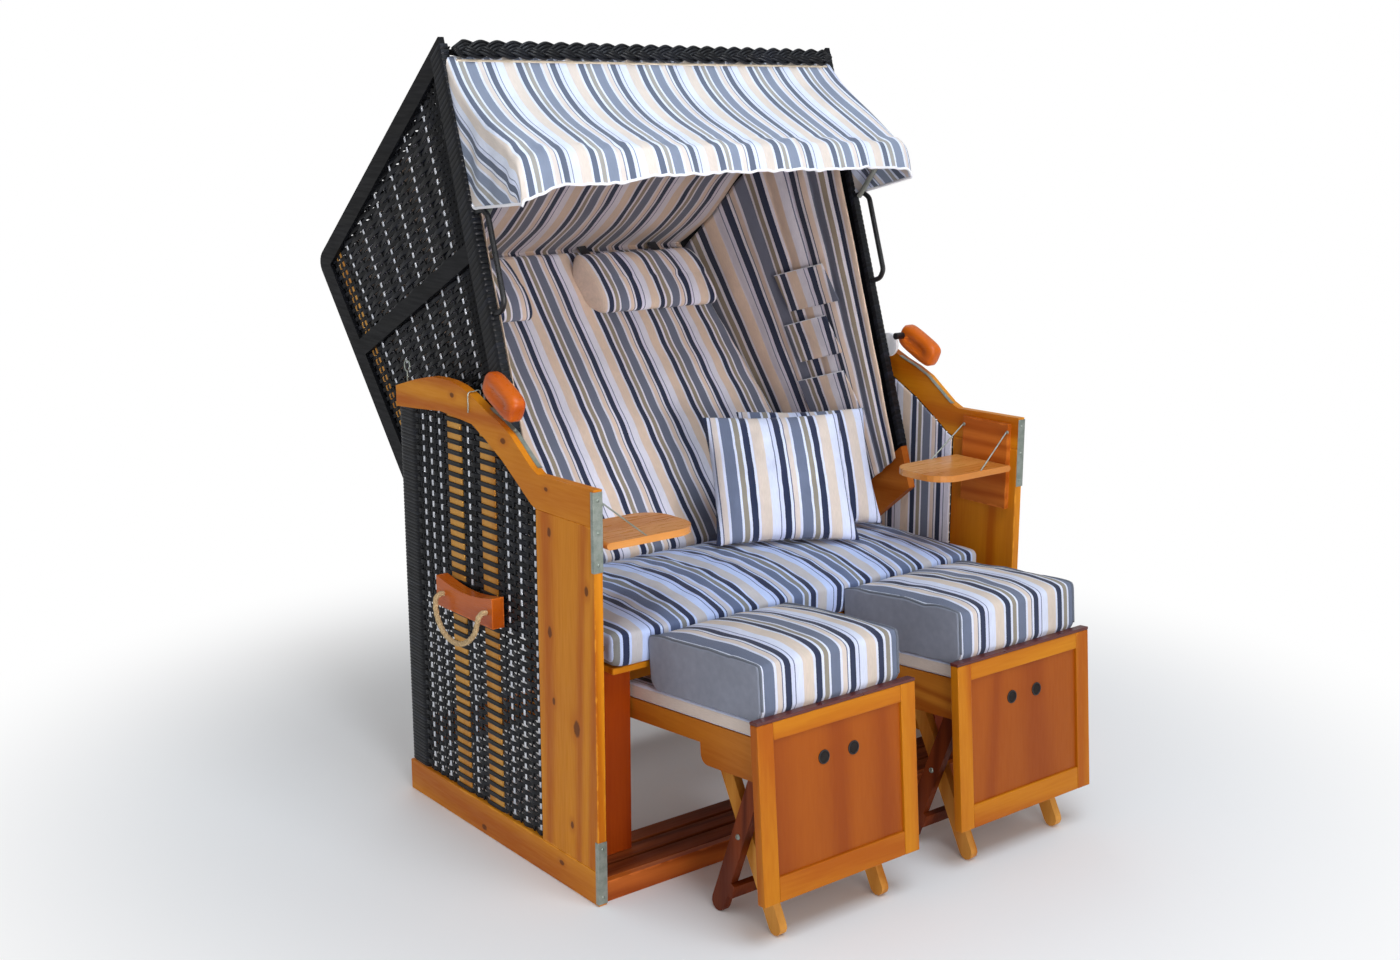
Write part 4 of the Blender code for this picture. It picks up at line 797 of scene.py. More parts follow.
def new_piece(
        name: str, shape: Shape, finish: Finish, body: str, stands_for: Sequence[str] = (),
        facing: Facing = Facing.CLOSED, sharp: float = 42.0,
        bevel: float = 0.0, thick: float = 0.0) -> bpy.types.Object:
    """Makes a piece from a shape, finishes it and seats it on its body.

    Args:
        name: name of the piece.
        shape: its points and faces, in place.
        finish: its finish.
        body: the body of the model that it moves with, or nothing, which leaves it unattached.
        stands_for: the model's nodes that it replaces.
        facing: a closed shape has its faces turned outwards.
        sharp: edges steeper than this many degrees stay sharp.
        bevel: width of rounded edges, if any.
        thick: thickness given to a sheet, if any.

    Returns:
        The new object.
    """
    mesh = bpy.data.meshes.new(name)
    mesh.from_pydata(shape.points.tolist(), [], shape.quads.tolist() + shape.caps)
    mesh.attributes.new(LAY, "FLOAT_VECTOR", "POINT").data.foreach_set(
        "vector", shape.lay.astype(np.float32).ravel())
    if facing is Facing.CLOSED:
        work = bmesh.new()
        work.from_mesh(mesh)
        bmesh.ops.recalc_face_normals(work, faces=work.faces[:])
        work.to_mesh(mesh)
        work.free()
    mesh.shade_smooth()
    mesh.set_sharp_from_angle(angle=math.radians(sharp))
    mesh.materials.append(finish.material())
    made = bpy.data.objects.new(name, mesh)
    bpy.context.scene.collection.objects.link(made)
    if thick:
        wall = made.modifiers.new("thickness", "SOLIDIFY")
        wall.thickness, wall.offset = thick, 0.0
    if bevel:
        edge = made.modifiers.new("edges", "BEVEL")
        edge.width, edge.segments, edge.limit_method = bevel, 2, "ANGLE"
    if stands_for:
        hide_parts(*stands_for)
    if body:
        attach(made, body)
    LOG.info("%s: %d points on %s", name, len(mesh.vertices), body or "a bend")
    return made


def dress(nodes: Nodes, name: str, finish: Finish) -> None:
    """Gives one of the model's own nodes a finish."""
    for place in nodes[name].material_slots:
        place.material = finish.material()
    LOG.info("%s: finished in %s", name, finish.name)


def box_of(name: str) -> tuple[Point, Point]:
    """Middle and half size of a node's box, for the wear on its edges."""
    low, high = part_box(name)
    return tuple((low + high) / 2), tuple((high - low) / 2)


@dataclass(frozen=True)
class Padding:
    """How a stuffed piece is blown up: its shape is remeshed, inflated by the cloth solver
    with gravity off, and no point moves further than the cap."""

    voxel: float = 0.006
    pressure: float = 4.0
    cap: float = 0.02
    steps: int = 18
    shrink: float = -0.12

    def fill(self, piece: bpy.types.Object, hold: Floats | None = None) -> None:
        """Swells a piece and rounds it off with one subdivision.

        Args:
            piece: the closed piece, in place.
            hold: point and direction of a plane on which the piece lies flat, or nothing.
        """
        remesh = piece.modifiers.new("skin", "REMESH")
        remesh.mode, remesh.voxel_size = "VOXEL", self.voxel
        self.apply(piece)
        rest = points_of(piece.data)
        solver = piece.modifiers.new("air", "CLOTH")
        solver.settings.use_pressure = True
        solver.settings.uniform_pressure_force = self.pressure
        solver.settings.shrink_min = self.shrink
        solver.settings.effector_weights.gravity = 0.0
        solver.settings.quality = 4
        solver.collision_settings.use_collision = False
        scene = bpy.context.scene
        for frame in range(1, self.steps + 1):
            scene.frame_set(frame)
        self.apply(piece)
        scene.frame_set(1)
        move = points_of(piece.data) - rest
        length = np.linalg.norm(move, axis=1, keepdims=True)
        move *= np.minimum(1.0, self.cap / np.maximum(length, 1e-9))
        if hold is not None:
            above = (rest - hold[0]) @ hold[1]
            move *= np.clip(above / 0.02, 0.0, 1.0)[:, None]
        rest = rest + move
        put_points(piece.data, rest)
        smooth = piece.modifiers.new("smooth", "SUBSURF")
        smooth.levels = smooth.render_levels = 1
        self.apply(piece)
        piece.data.shade_smooth()

    @staticmethod
    def apply(piece: bpy.types.Object) -> None:
        """Bakes the piece's modifiers into its mesh."""
        graph = bpy.context.evaluated_depsgraph_get()
        mesh = bpy.data.meshes.new_from_object(piece.evaluated_get(graph), depsgraph=graph)
        material = piece.data.materials[0]
        piece.modifiers.clear()
        piece.data = mesh
        if not mesh.materials:
            mesh.materials.append(material)


def points_of(mesh: bpy.types.Mesh) -> Floats:
    """The mesh's points as an array."""
    flat = np.empty(len(mesh.vertices) * 3, np.float32)
    mesh.vertices.foreach_get("co", flat)
    return flat.reshape(-1, 3).astype(float)


def put_points(mesh: bpy.types.Mesh, points: Floats) -> None:
    """Moves the mesh's points to those of an array."""
    mesh.vertices.foreach_set("co", points.astype(np.float32).ravel())
    mesh.update()


def put_attribute(mesh: bpy.types.Mesh, name: str, values: Floats) -> None:
    """Stores one number or one vector for each point of a mesh."""
    kind, slot = ("FLOAT_VECTOR", "vector") if values.ndim == 2 else ("FLOAT", "value")
    found = mesh.attributes.get(name)
    if found is not None:
        mesh.attributes.remove(found)
    mesh.attributes.new(name, kind, "POINT").data.foreach_set(
        slot, values.astype(np.float32).ravel())


# Base


def arm_under(y: Floats) -> Floats:
    """Height of the arm's lower edge at places along the base, from its corner points."""
    back = np.array((0.0, 0.196, 0.2116, 0.2583, 0.3123, 0.3737, 0.4262, 0.5483, 0.6519, 0.74))
    high = np.array((0.755, 0.755, 0.761, 0.7931, 0.829, 0.8619, 0.886, 0.895, 0.886, 0.8798))
    return np.interp(np.asarray(y) - BASE_FRONT, back, high)


@dataclass(frozen=True)
class Weave:
    """Rows of plastic rattan that pass in front of and behind upright canes in turn."""

    pitch: float = 0.0115
    height: float = 0.0104
    depth: float = 0.0034
    swing: float = 0.0031
    steps: int = 4

    def strand(self) -> Floats:
        """Outline of a double strand: across the row, and out from the panel."""
        across = np.array((-0.5, -0.42, -0.2, 0.0, 0.2, 0.42, 0.5, 0.0))
        out = np.array((-0.1, 0.34, 0.5, 0.26, 0.5, 0.34, -0.1, -0.5))
        return np.stack([across * self.height, out * self.depth], axis=1)

    def rows(self, lines: Floats, phase: Floats, out: Floats, across: Floats) -> Shape:
        """Strands along lines; each is moved out by swing * cos(pi (phase + row)), so that a
        row passes in front at every second cane and the next row at the others.

        Args:
            lines: the rows' centre lines, as rows by steps by three.
            phase: number of the cane beside each point, running smoothly in between.
            out: direction out of the panel.
            across: direction from one row to the next.

        Returns:
            All rows of the panel.
        """
        rng = np.random.default_rng(len(lines))
        row = np.arange(len(lines))[:, None]
        vary = rng.uniform(0.9, 1.05, (len(lines), 1))
        drift = rng.normal(0.0, 0.00025, (len(lines), 1))
        swing = self.swing * np.cos(math.pi * (phase + row)) * vary
        centre = lines + swing[..., None] * out + drift[..., None] * across
        return bars(centre, across, out, self.strand())

    @staticmethod
    def canes(
            lines: Floats, across: Floats, out: Floats, wide: float,
            thick: float = 0.0024) -> Shape:
        """Upright canes, or flat slats when they are wide, along their lines."""
        slat = np.array(((-0.5, -0.4), (-0.46, 0.5), (0.46, 0.5), (0.5, -0.4))) * (wide, thick)
        return bars(lines, across, out, slat if wide > 0.012 else round_profile(8, wide, thick))


@dataclass
class BaseSide:
    """One side of the base: boards, woven panel, lining, corner plates and small metal."""

    side: Side
    outer: float = 0.590
    middle: float = 0.5802
    panel_front: float = 0.196
    wrap_front: float = 0.668
    rear: float = 0.7395
    low: float = 0.0704
    white_canes: tuple[float, ...] = (0.215, 0.2685, 0.3148, 0.459, 0.5752, 0.6115, 0.6437)
    black_canes: tuple[float, ...] = (
        0.2035, 0.2415, 0.2915, 0.3345, 0.4375, 0.4702, 0.5605, 0.5935, 0.6276, 0.659)
    slats: tuple[float, ...] = (0.3851, 0.5138)
    slat_width: float = 0.056
    weave: Weave = Weave()

    def build(self, nodes: Nodes) -> None:
        """Dresses the boards and makes the woven panel, the lining and the trim."""
        self.dress_boards(nodes)
        self.weave_panel()
        self.hang_lining()
        self.fit_metal()

    def dress_boards(self, nodes: Nodes) -> None:
        """Honey pine with knots on the arm, the post and the rail; darker wood inside."""
        name, x = self.side.label, self.side.value * self.outer
        knots = {
            "arm": (
                ((x, 0.0735, 0.9349), 0.005), ((x, -0.1197, 0.8697), 0.006),
                ((x, -0.27, 0.8), 0.004)),
            "front_post": (
                ((x, -0.3617, 0.3449), 0.010), ((x, -0.4012, 0.6284), 0.006),
                ((x, -0.2778, 0.7177), 0.006), ((x, -0.274, 0.5172), 0.007),
                ((x, -0.2832, 0.3789), 0.005), ((x, -0.34, 0.14), 0.005)),
            "bottom_rail": (((x, -0.0038, 0.015), 0.006), ((x, -0.3, 0.045), 0.005))}
        for part, axis in (("arm", Axis.Y), ("front_post", Axis.Z), ("bottom_rail", Axis.Y)):
            node = f"{part}_{name}"
            middle, half = box_of(node)
            dress(
                nodes, node,
                Wood(
                    f"pine_{node}", grain=axis, knots=knots[part], middle=middle,
                    half=half if part != "arm" else ORIGIN, lines=7.0))
        stile = f"front_stile_{name}"
        middle, half = box_of(stile)
        dress(
            nodes, stile,
            Wood(
                f"stain_{stile}", paint(164, 66, 8), paint(126, 40, 2), Axis.Z, middle=middle,
                half=half))
        dress(nodes, f"seat_bearer_{name}", Wood(f"pine_bearer_{name}", grain=Axis.Y))

    def phase(self, y: Floats) -> Floats:
        """Number of the cane beside a place; it holds still over a slat's width."""
        half = self.slat_width / 2 - 0.004
        stops = sorted(
            [(k, k) for k in self.white_canes + self.black_canes]
            + [(k - half, k + half) for k in self.slats])
        return np.interp(
            y - BASE_FRONT, np.array(stops).ravel(), np.repeat(np.arange(len(stops)), 2))

    def upright(self, places: Sequence[float]) -> Floats:
        """Lines of upright canes, from the rail to the arm."""
        y = np.array(places) + BASE_FRONT
        share = np.linspace(0, 1, 3)
        z = self.low + (arm_under(y)[:, None] + 0.004 - self.low) * share
        x = np.full_like(z, self.side.value * self.middle)
        return np.stack([x, np.broadcast_to(y[:, None], z.shape), z], axis=-1)

    def weave_panel(self) -> None:
        """Rows along the base, each cut off where the sloping arm meets it, the canes and
        slats, and the closely wrapped rear post."""
        name, sign, steps = self.side.label, self.side.value, np.linspace(0, 1, 140)
        out, up = np.array((sign, 0.0, 0.0)), np.array((0.0, 0.0, 1.0))
        along = np.array((0.0, 1.0, 0.0))
        top = 0.894
        z = np.arange(self.low + self.weave.pitch / 2, top, self.weave.pitch)
        fine = np.linspace(self.panel_front, self.wrap_front, 400) + BASE_FRONT
        open_here = arm_under(fine)[None, :] > z[:, None] - 0.003
        start = fine[np.argmax(open_here, axis=1)] - 0.004
        y = start[:, None] + (self.wrap_front + BASE_FRONT - start)[:, None] * steps
        x = np.full_like(y, sign * self.middle)
        lines = np.stack([x, y, np.broadcast_to(z[:, None], y.shape)], axis=-1)
        rows = self.weave.rows(lines, self.phase(y) + 1, out, up)
        black = self.weave.canes(self.upright(self.black_canes), along, out, 0.006)
        new_piece(
            f"base_weave_{name}", rows + black, BLACK_STRAND, "base", (f"side_weave_{name}",))
        white = self.weave.canes(self.upright(self.white_canes), along, out, 0.0075)
        new_piece(f"base_white_canes_{name}", white, WHITE_STRAND, "base")
        slats = self.weave.canes(self.upright(self.slats), along, out, self.slat_width, 0.0028)
        new_piece(f"base_slats_{name}", slats, GOLD_SLAT, "base", bevel=0.0005)
        self.wrap_post(out, up)

    def wrap_post(self, out: Floats, up: Floats) -> None:
        """The rear post: turns of strand one above the other, bulging over its width."""
        share = np.linspace(0, 1, 15)
        z = np.arange(self.low + 0.004, 0.884, 0.0076)
        y = BASE_FRONT + self.wrap_front + (self.rear - self.wrap_front) * share
        bulge = 0.0085 * np.sqrt(np.clip(1 - (2 * share - 1) ** 6, 0, 1))
        x = self.side.value * (self.middle - 0.0035 + bulge)
        height = z[:, None] + 0.002 * share[None, :]
        lines = np.stack(np.broadcast_arrays(x, y, height), axis=-1)
        new_piece(
            f"base_wrap_{self.side.label}", bars(lines, up, out, round_profile(8, 0.0079, 0.0032)),
            BLACK_STRAND, "base")

    def hang_lining(self) -> None:
        """Striped cloth tacked inside the arm, with soft waves between its tacks."""
        y0, y1, low = self.panel_front + BASE_FRONT + 0.002, 0.2917, 0.470
        u, v = np.meshgrid(np.linspace(0, 1, 70), np.linspace(0, 1, 60), indexing="ij")
        y = y0 + (y1 - y0) * u
        z = low + (arm_under(y) - 0.002 - low) * v
        wave = 0.0012 * ripple(y * 1.6, z * 0.5, 5, 0.09) * np.sin(
            math.pi * np.clip(u, 0, 1)) ** 0.5
        x = self.side.value * (0.5684 - np.abs(wave))
        sheet = new_piece(
            f"arm_lining_{self.side.label}",
            grid_shape(np.stack([x, y, z], axis=-1), np.stack([y, z], axis=-1)), STRIPED, "base",
            (f"base_lining_{self.side.label}",), Facing.SHEET, thick=CLOTH_THICK)

    def fit_metal(self) -> None:
        """Corner plates on the front edges and their screws."""
        sign, name = self.side.value, self.side.label
        front = BASE_FRONT
        plates = []
        for inner, fore, rear in ((0.5885, -0.0012, 0.008), (0.5702, -0.0016, -0.0002)):
            for low, high in ((0.668, 0.822), (0.004, 0.132)):
                ends = (sign * inner, front + fore, low), (sign * 0.5915, front + rear, high)
                plates.append(board(GROUND, *ends))
        new_piece(
            f"corner_plates_{name}", joined(plates), STEEL, "base", bevel=0.0005)
        out = np.array((0.0, -1.0, 0.0))
        heads = [
            screw(np.array((sign * 0.581, front - 0.0016, z)), out, 0.0036)
            for z in (0.683, 0.745, 0.806, 0.018, 0.118)]
        new_piece(f"corner_screws_{name}", joined(heads), STEEL, "base")


def screw(place: Floats, out: Floats, radius: float) -> Shape:
    """A round screw head with a sunk socket: rings from the rim over the dome to the
    bottom of the socket, along the outward direction."""
    rings = np.array(
        ((1.0, -0.3), (1.0, 0.1), (0.8, 0.36), (0.46, 0.48), (0.42, 0.42), (0.36, 0.12)))
    path = place + out * (rings[:, 1:] * radius)
    across = np.cross(out, np.roll(out, 1))
    across /= np.linalg.norm(across)
    rise = np.cross(out, across)
    turn = np.linspace(0, 2 * math.pi, 14, endpoint=False)[None, :, None]
    return ring_stack(
        path[:, None] + radius * rings[:, :1, None] * (across * np.cos(turn) + rise * np.sin(turn)))


@dataclass
class RopeHandle:
    """Saddle block on the side of the base, and the rope loop through it."""

    side: Side
    outer: float = 0.590
    thickness: float = 0.012
    route: tuple[Point, ...] = (
        (0.0256, 0.5180, 0.5150), (0.0296, 0.5180, 0.5150), (0.0360, 0.5182, 0.5143),
        (0.0415, 0.5186, 0.5105), (0.0448, 0.5188, 0.5040), (0.0460, 0.5180, 0.4940),
        (0.0460, 0.5130, 0.4720), (0.0455, 0.4980, 0.4500), (0.0450, 0.4740, 0.4350),
        (0.0445, 0.4460, 0.4300), (0.0450, 0.4150, 0.4350), (0.0455, 0.3860, 0.4490),
        (0.0460, 0.3620, 0.4700), (0.0460, 0.3510, 0.4920), (0.0448, 0.3480, 0.5040),
        (0.0415, 0.3470, 0.5105), (0.0360, 0.3462, 0.5143), (0.0296, 0.3460, 0.5150),
        (0.0256, 0.3460, 0.5150))

    def build(self, nodes: Nodes) -> None:
        """Makes the twisted rope and dresses the block."""
        knots = np.array(self.route)
        knots = np.stack(
            [self.side.value * (self.outer + knots[:, 0]), knots[:, 1] + BASE_FRONT, knots[:, 2]],
            axis=1)
        line = curve_through(knots, 0.002)
        name = self.side.label
        rope = new_piece(
            f"rope_{name}", tube(line, self.thickness / 2, 24, 3, 160.0, 0.0016), ROPE_FIBRE,
            "base", (f"handle_rope_{name}",), sharp=180.0)
        block = f"handle_block_{name}"
        middle, half = box_of(block)
        dress(
            nodes, block,
            Wood(
                f"orange_{block}", paint(208, 106, 26), paint(172, 74, 10), Axis.Y, 5.0,
                middle=middle, half=half, rough=0.3, coat=0.3))


@dataclass
class Step:
    """The low step between the bottom rails and the plain boards behind it."""

    def build(self, nodes: Nodes) -> None:
        """Finishes the step, the rear rail and the boards under the seat."""
        low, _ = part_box("step_board")
        knot = (((0.31, float(low.y), 0.022), 0.006), ((-0.2, float(low.y), 0.03), 0.004))
        middle, half = box_of("step_board")
        dress(
            nodes, "step_board",
            Wood(
                "orange_step", paint(196, 104, 38), paint(150, 66, 14), Axis.X, knots=knot,
                middle=middle, half=half))
        dress(
            nodes, "step_slats",
            Wood("stain_step", paint(142, 70, 28), paint(100, 42, 12), Axis.X, rough=0.7, coat=0.0))
        for name in ("rear_rail", "seat_board", "seat_bearer_middle"):
            dress(
                nodes, name,
                Wood(f"pine_{name}", grain=Axis.Y if name == "seat_bearer_middle" else Axis.X))


@dataclass
class SideTable:
    """A small flap table inside an arm, its wall plate and its two slanting stays."""

    side: Side
    stay: float = 0.0032

    def build(self, nodes: Nodes) -> None:
        """Finishes the flap and the plate, and hangs the flap on its stays."""
        name, sign = self.side.label, self.side.value
        dress(
            nodes, f"side_table_{name}",
            Wood(
                f"pine_table_{name}", paint(224, 158, 84), paint(196, 122, 50), Axis.X, 6.0,
                rough=0.3, coat=0.5))
        middle, half = box_of(f"table_plate_{name}")
        dress(
            nodes, f"table_plate_{name}",
            Wood(
                f"orange_plate_{name}", paint(206, 118, 42), paint(166, 80, 16), Axis.Y,
                middle=middle, half=half))
        low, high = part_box(f"side_table_{name}")
        for end, upper_y, edge_y in (
                ("front", 0.020, low.y + 0.003), ("rear", 0.151, high.y - 0.003)):
            upper = np.array((sign * 0.5535, upper_y + BASE_FRONT, 0.792))
            lower = np.array((sign * 0.452, edge_y, 0.7105))
            share = np.linspace(0, 1, 24)[:, None]
            line = upper + (lower - upper) * share
            rod = new_piece(
                f"table_stay_{end}_{name}", tube(line, self.stay / 2, 10), STEEL, "")
            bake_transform(rod)
            eye = screw(upper + sign * 0.0035 * ACROSS, -sign * ACROSS, 0.004)
            new_piece(f"stay_eye_{end}_{name}", eye, STEEL, "base")
            out = np.array((0.0, -1.0 if end == "front" else 1.0, 0.0))
            pin = screw(lower, out, 0.0036)
            new_piece(f"stay_pin_{end}_{name}", pin, STEEL, f"table_{name}")


# Hood


EDGE_PLACE, EDGE_FOOT = 0.286, 0.076  # the front edge's foot lies this far ahead and below
EDGE_RUN, EDGE_RISE = 0.396, 0.999


def front_edge(w: Floats | float) -> Floats:
    """Front edge of the hood's side at a height up its back."""
    return -(EDGE_PLACE + (np.asarray(w, float) + EDGE_FOOT) * EDGE_RUN / EDGE_RISE)


def edge_direction() -> Floats:
    """Unit direction up the hood's front edge."""
    slope = HOOD.turned(0.0, -0.3964, 1.0)
    return slope / np.linalg.norm(slope)


@dataclass
class HoodSide:
    """One side of the hood: black boards, a fan of canes in two openings, and the strand
    wrapped round its front edge."""

    side: Side
    middle: float = 0.5243
    rear: float = 0.046
    rail: float = 0.0484
    low: float = 0.0408
    high: float = 0.878
    slope: float = 0.2194
    divider: float = 0.650
    divider_half: float = 0.0185
    white_canes: tuple[float, ...] = (0.125, 0.265, 0.412, 0.557, 0.702, 0.856)
    black_canes: tuple[float, ...] = (
        0.012, 0.085, 0.195, 0.338, 0.485, 0.63, 0.779, 0.905, 0.935, 0.965, 0.99)
    gold_canes: tuple[float, ...] = (0.035, 0.062)
    weave: Weave = Weave(swing=0.0030, depth=0.0032)

    def build(self, nodes: Nodes) -> None:
        """Weaves both openings and finishes the boards."""
        name = self.side.label
        dress(nodes, f"hood_frame_{name}", BLACK_BOARD)
        dress(
            nodes, f"hood_foot_{name}",
            Wood(f"orange_foot_{name}", paint(196, 112, 40), paint(156, 78, 18), Axis.Y))
        self.weave_openings()
        self.wrap_edge()

    def front(self, w: Floats) -> Floats:
        """Inner front edge of the openings."""
        return front_edge(w) + self.rail

    def fan(self, shares: Sequence[float]) -> Floats:
        """Canes at constant shares of the way from the rear to the front."""
        w = np.linspace(self.low - 0.01, self.high + 0.01, 12)[None, :]
        v = self.rear + np.array(shares)[:, None] * (self.front(w) - self.rear)
        return HOOD.place(self.side.value * self.middle, v, np.broadcast_to(w, v.shape))

    def rows_between(
            self, first: float, last: float, base: float, top: float) -> tuple[Floats, Floats]:
        """Rows w = start + slope (v - rear) of one opening, each cut off at its lower and
        upper rail.

        Args:
            first: height at the rear edge of the first row.
            last: height at the rear edge of the last row.
            base: lower edge of the opening where it is level.
            top: upper edge of the opening where it is level.

        Returns:
            Places v and heights w of the rows' points.
        """
        start = np.arange(first, last, self.weave.pitch)[:, None]
        bend = EDGE_RUN / EDGE_RISE
        foot = start - self.slope * self.rear + EDGE_FOOT
        front = (-EDGE_PLACE + self.rail - bend * foot) / (1 + bend * self.slope)
        fore = np.maximum(front - 0.004, self.rear + (base - start) / self.slope)
        back = np.minimum(self.rear + 0.004, self.rear + (top - start) / self.slope)
        keep = (back - fore)[:, 0] > 0.02
        start, fore, back = start[keep], fore[keep], back[keep]
        v = back + (fore - back) * np.linspace(0, 1, 76)
        return v, start + self.slope * (v - self.rear)

    def weave_openings(self) -> None:
        """Rows below and above the middle rail, and the canes behind both."""
        sign, name = self.side.value, self.side.label
        out = np.array((sign, 0.0, 0.0))
        across = HOOD.turned(0.0, -self.slope, 1.0)
        across /= np.linalg.norm(across)
        shares = np.array(sorted(self.white_canes + self.black_canes + self.gold_canes))
        odd = self.white_canes + self.gold_canes
        before = (shares[-1], *shares[:-1])
        numbers = np.cumsum([1 + ((k in odd) == (j in odd)) for j, k in zip(before, shares)])
        shapes = []
        limits = (
            (self.low, self.divider - self.divider_half, self.low - 0.002, 9.0),
            (self.divider + self.divider_half, 1.04, -9.0, self.high + 0.002))
        for first, last, base, top in limits:
            v, w = self.rows_between(first + self.weave.pitch / 2, last, base, top)
            share = (self.rear - v) / (self.rear - self.front(w))
            lines = HOOD.place(sign * self.middle, v, w)
            shapes.append(self.weave.rows(lines, np.interp(share, shares, numbers), out, across))
        along = HOOD.turned(0.0, 1.0, 0.0)
        shapes.append(self.weave.canes(self.fan(self.black_canes), along, out, 0.005))
        new_piece(
            f"hood_side_weave_{name}", joined(shapes), BLACK_STRAND, "hood",
            (f"hood_weave_{name}",))
        new_piece(
            f"hood_white_canes_{name}",
            self.weave.canes(self.fan(self.white_canes), along, out, 0.0072), WHITE_STRAND, "hood")
        new_piece(
            f"hood_gold_canes_{name}",
            self.weave.canes(self.fan(self.gold_canes), along, out, 0.009), GOLD_SLAT, "hood")

    def wrap_edge(self) -> None:
        """Strand wrapped round the front board: each turn runs from its inner corner over
        the front face to its outer face."""
        sign = self.side.value
        w = np.arange(0.03, 0.915, 0.0108)[:, None]
        x = np.array((0.5162, 0.5160, 0.5168, 0.5255, 0.5340, 0.5356, 0.5360, 0.5360))
        v = np.array((0.012, 0.001, -0.0009, -0.0012, -0.0009, 0.001, 0.012, 0.0445))
        lines = HOOD.place(sign * x, front_edge(w) + v, np.broadcast_to(w, (len(w), 8)))
        slope = edge_direction()
        middle = HOOD.place(sign * 0.5255, front_edge(w) + 0.016, w)
        out = lines - middle
        out -= (out @ slope)[..., None] * slope
        out /= np.linalg.norm(out, axis=2, keepdims=True)
        new_piece(
            f"edge_wrap_{self.side.label}",
            bars(lines, slope, out, round_profile(8, 0.0112, 0.0022)), BLACK_STRAND, "hood")


@dataclass
class HoodShell:
    """Woven back and roof of the hood, with the braid along its rim."""

    half: float = 0.5145
    depth: float = 0.0835
    roof: float = 0.9155
    radius: float = 0.022
    low: float = -0.028
    cane_step: float = 0.046
    braid_half: float = 0.513
    braid_height: float = 0.895
    braid_out: float = 0.0173
    plait: float = 0.118
    plait_half: float = 0.0098
    strand_gap: float = 0.0066
    weave: Weave = Weave(swing=0.0028, depth=0.0032)

    def section(self, run: Floats) -> tuple[Floats, Floats, Floats]:
        """The shell's line from the foot of the back over the rounded corner to the roof's
        front: place, height and outward angle at distances along it."""
        back = self.roof - self.radius - self.low
        corner = self.radius * math.pi / 2
        turn = np.clip((run - back) / self.radius, 0, math.pi / 2)
        v = self.depth - self.radius + self.radius * np.cos(turn) - np.maximum(
            run - back - corner, 0)
        w = self.low + np.minimum(run, back) + self.radius * np.sin(turn)
        return v, w, turn

    def panel(self, name: str, first: float, last: float, stands_for: Sequence[str]) -> None:
        """Rows across the chair between two distances along the section, and their canes."""
        run = np.arange(first, last, self.weave.pitch)
        v, w, turn = self.section(run)
        canes = np.arange(-self.half + 0.012, self.half, self.cane_step)
        x = np.linspace(-self.half, self.half, 23 * self.weave.steps + 1)
        phase = np.interp(x, canes, np.arange(len(canes)))
        lines = HOOD.place(x[None, :], v[:, None], w[:, None])
        normal = HOOD.turned(0.0, np.cos(turn), np.sin(turn))
        along = HOOD.turned(0.0, -np.sin(turn), np.cos(turn))
        rows = self.weave.rows(
            lines, np.broadcast_to(phase, lines.shape[:2]), normal[:, None], along[:, None])
        run = np.linspace(first, last, 48)
        v, w, turn = self.section(run)
        normal = HOOD.turned(0.0, np.cos(turn), np.sin(turn))
        upright = HOOD.place(canes[:, None], v, w)
        white = np.arange(len(canes)) % 4 == 1
        rows += self.weave.canes(upright[~white], ACROSS, normal[None], 0.005)
        new_piece(name, rows, BLACK_STRAND, "hood", stands_for)
        new_piece(
            f"{name}_white_canes", self.weave.canes(upright[white], ACROSS, normal[None], 0.0072),
            WHITE_STRAND, "hood")

    def build(self) -> None:
        """Weaves the back, the roof and the braid."""
        corner = self.roof - self.low - self.radius
        self.panel("hood_back", 0.004, corner - 0.004, ("hood_shell",))
        self.panel("hood_roof", corner - 0.004 + self.weave.pitch * 0.35, corner + 0.758, ())
        self.braid()

    def braid(self) -> None:
        """A plait of three double strands along the rim: strand k is off to one side by
        A sin(t + 2 pi k / 3) and forward by B sin(2t + 4 pi k / 3)."""
        up, half = self.braid_height, self.braid_half
        slope = edge_direction()
        out = np.array((0.0, -slope[2], slope[1]))
        centre = HOOD.place(0.0, front_edge(up), up) + out * self.braid_out
        x = np.linspace(-half, half, 420)
        close = np.clip((half - np.abs(x)) / 0.022, 0, 1) ** 0.5
        shapes = []
        for strand in range(3):
            turn = 2 * math.pi * (x / self.plait + strand / 3)
            side = self.plait_half * np.sin(turn) * close
            slant = np.arctan(self.plait_half * 2 * math.pi / self.plait * np.cos(turn))
            for offset in (-self.strand_gap, 0.0, self.strand_gap):
                fore = 0.0044 * np.sin(2 * turn) - 0.12 * abs(offset)
                line = (
                    centre + (x - offset * np.sin(slant))[:, None] * ACROSS
                    + (side + offset * close * np.cos(slant))[:, None] * slope
                    + fore[:, None] * out)
                shapes.append(tube(line, 0.0036, 8))
        new_piece(
            "rim_plait", joined(shapes), BLACK_STRAND, "hood", ("rim_braid",),
            sharp=80.0)


BLACK_BOARD = Wood("black_board", paint(17, 18, 23), paint(9, 10, 13), Axis.Y, rough=0.5, coat=0.04)


# Linings and cushions


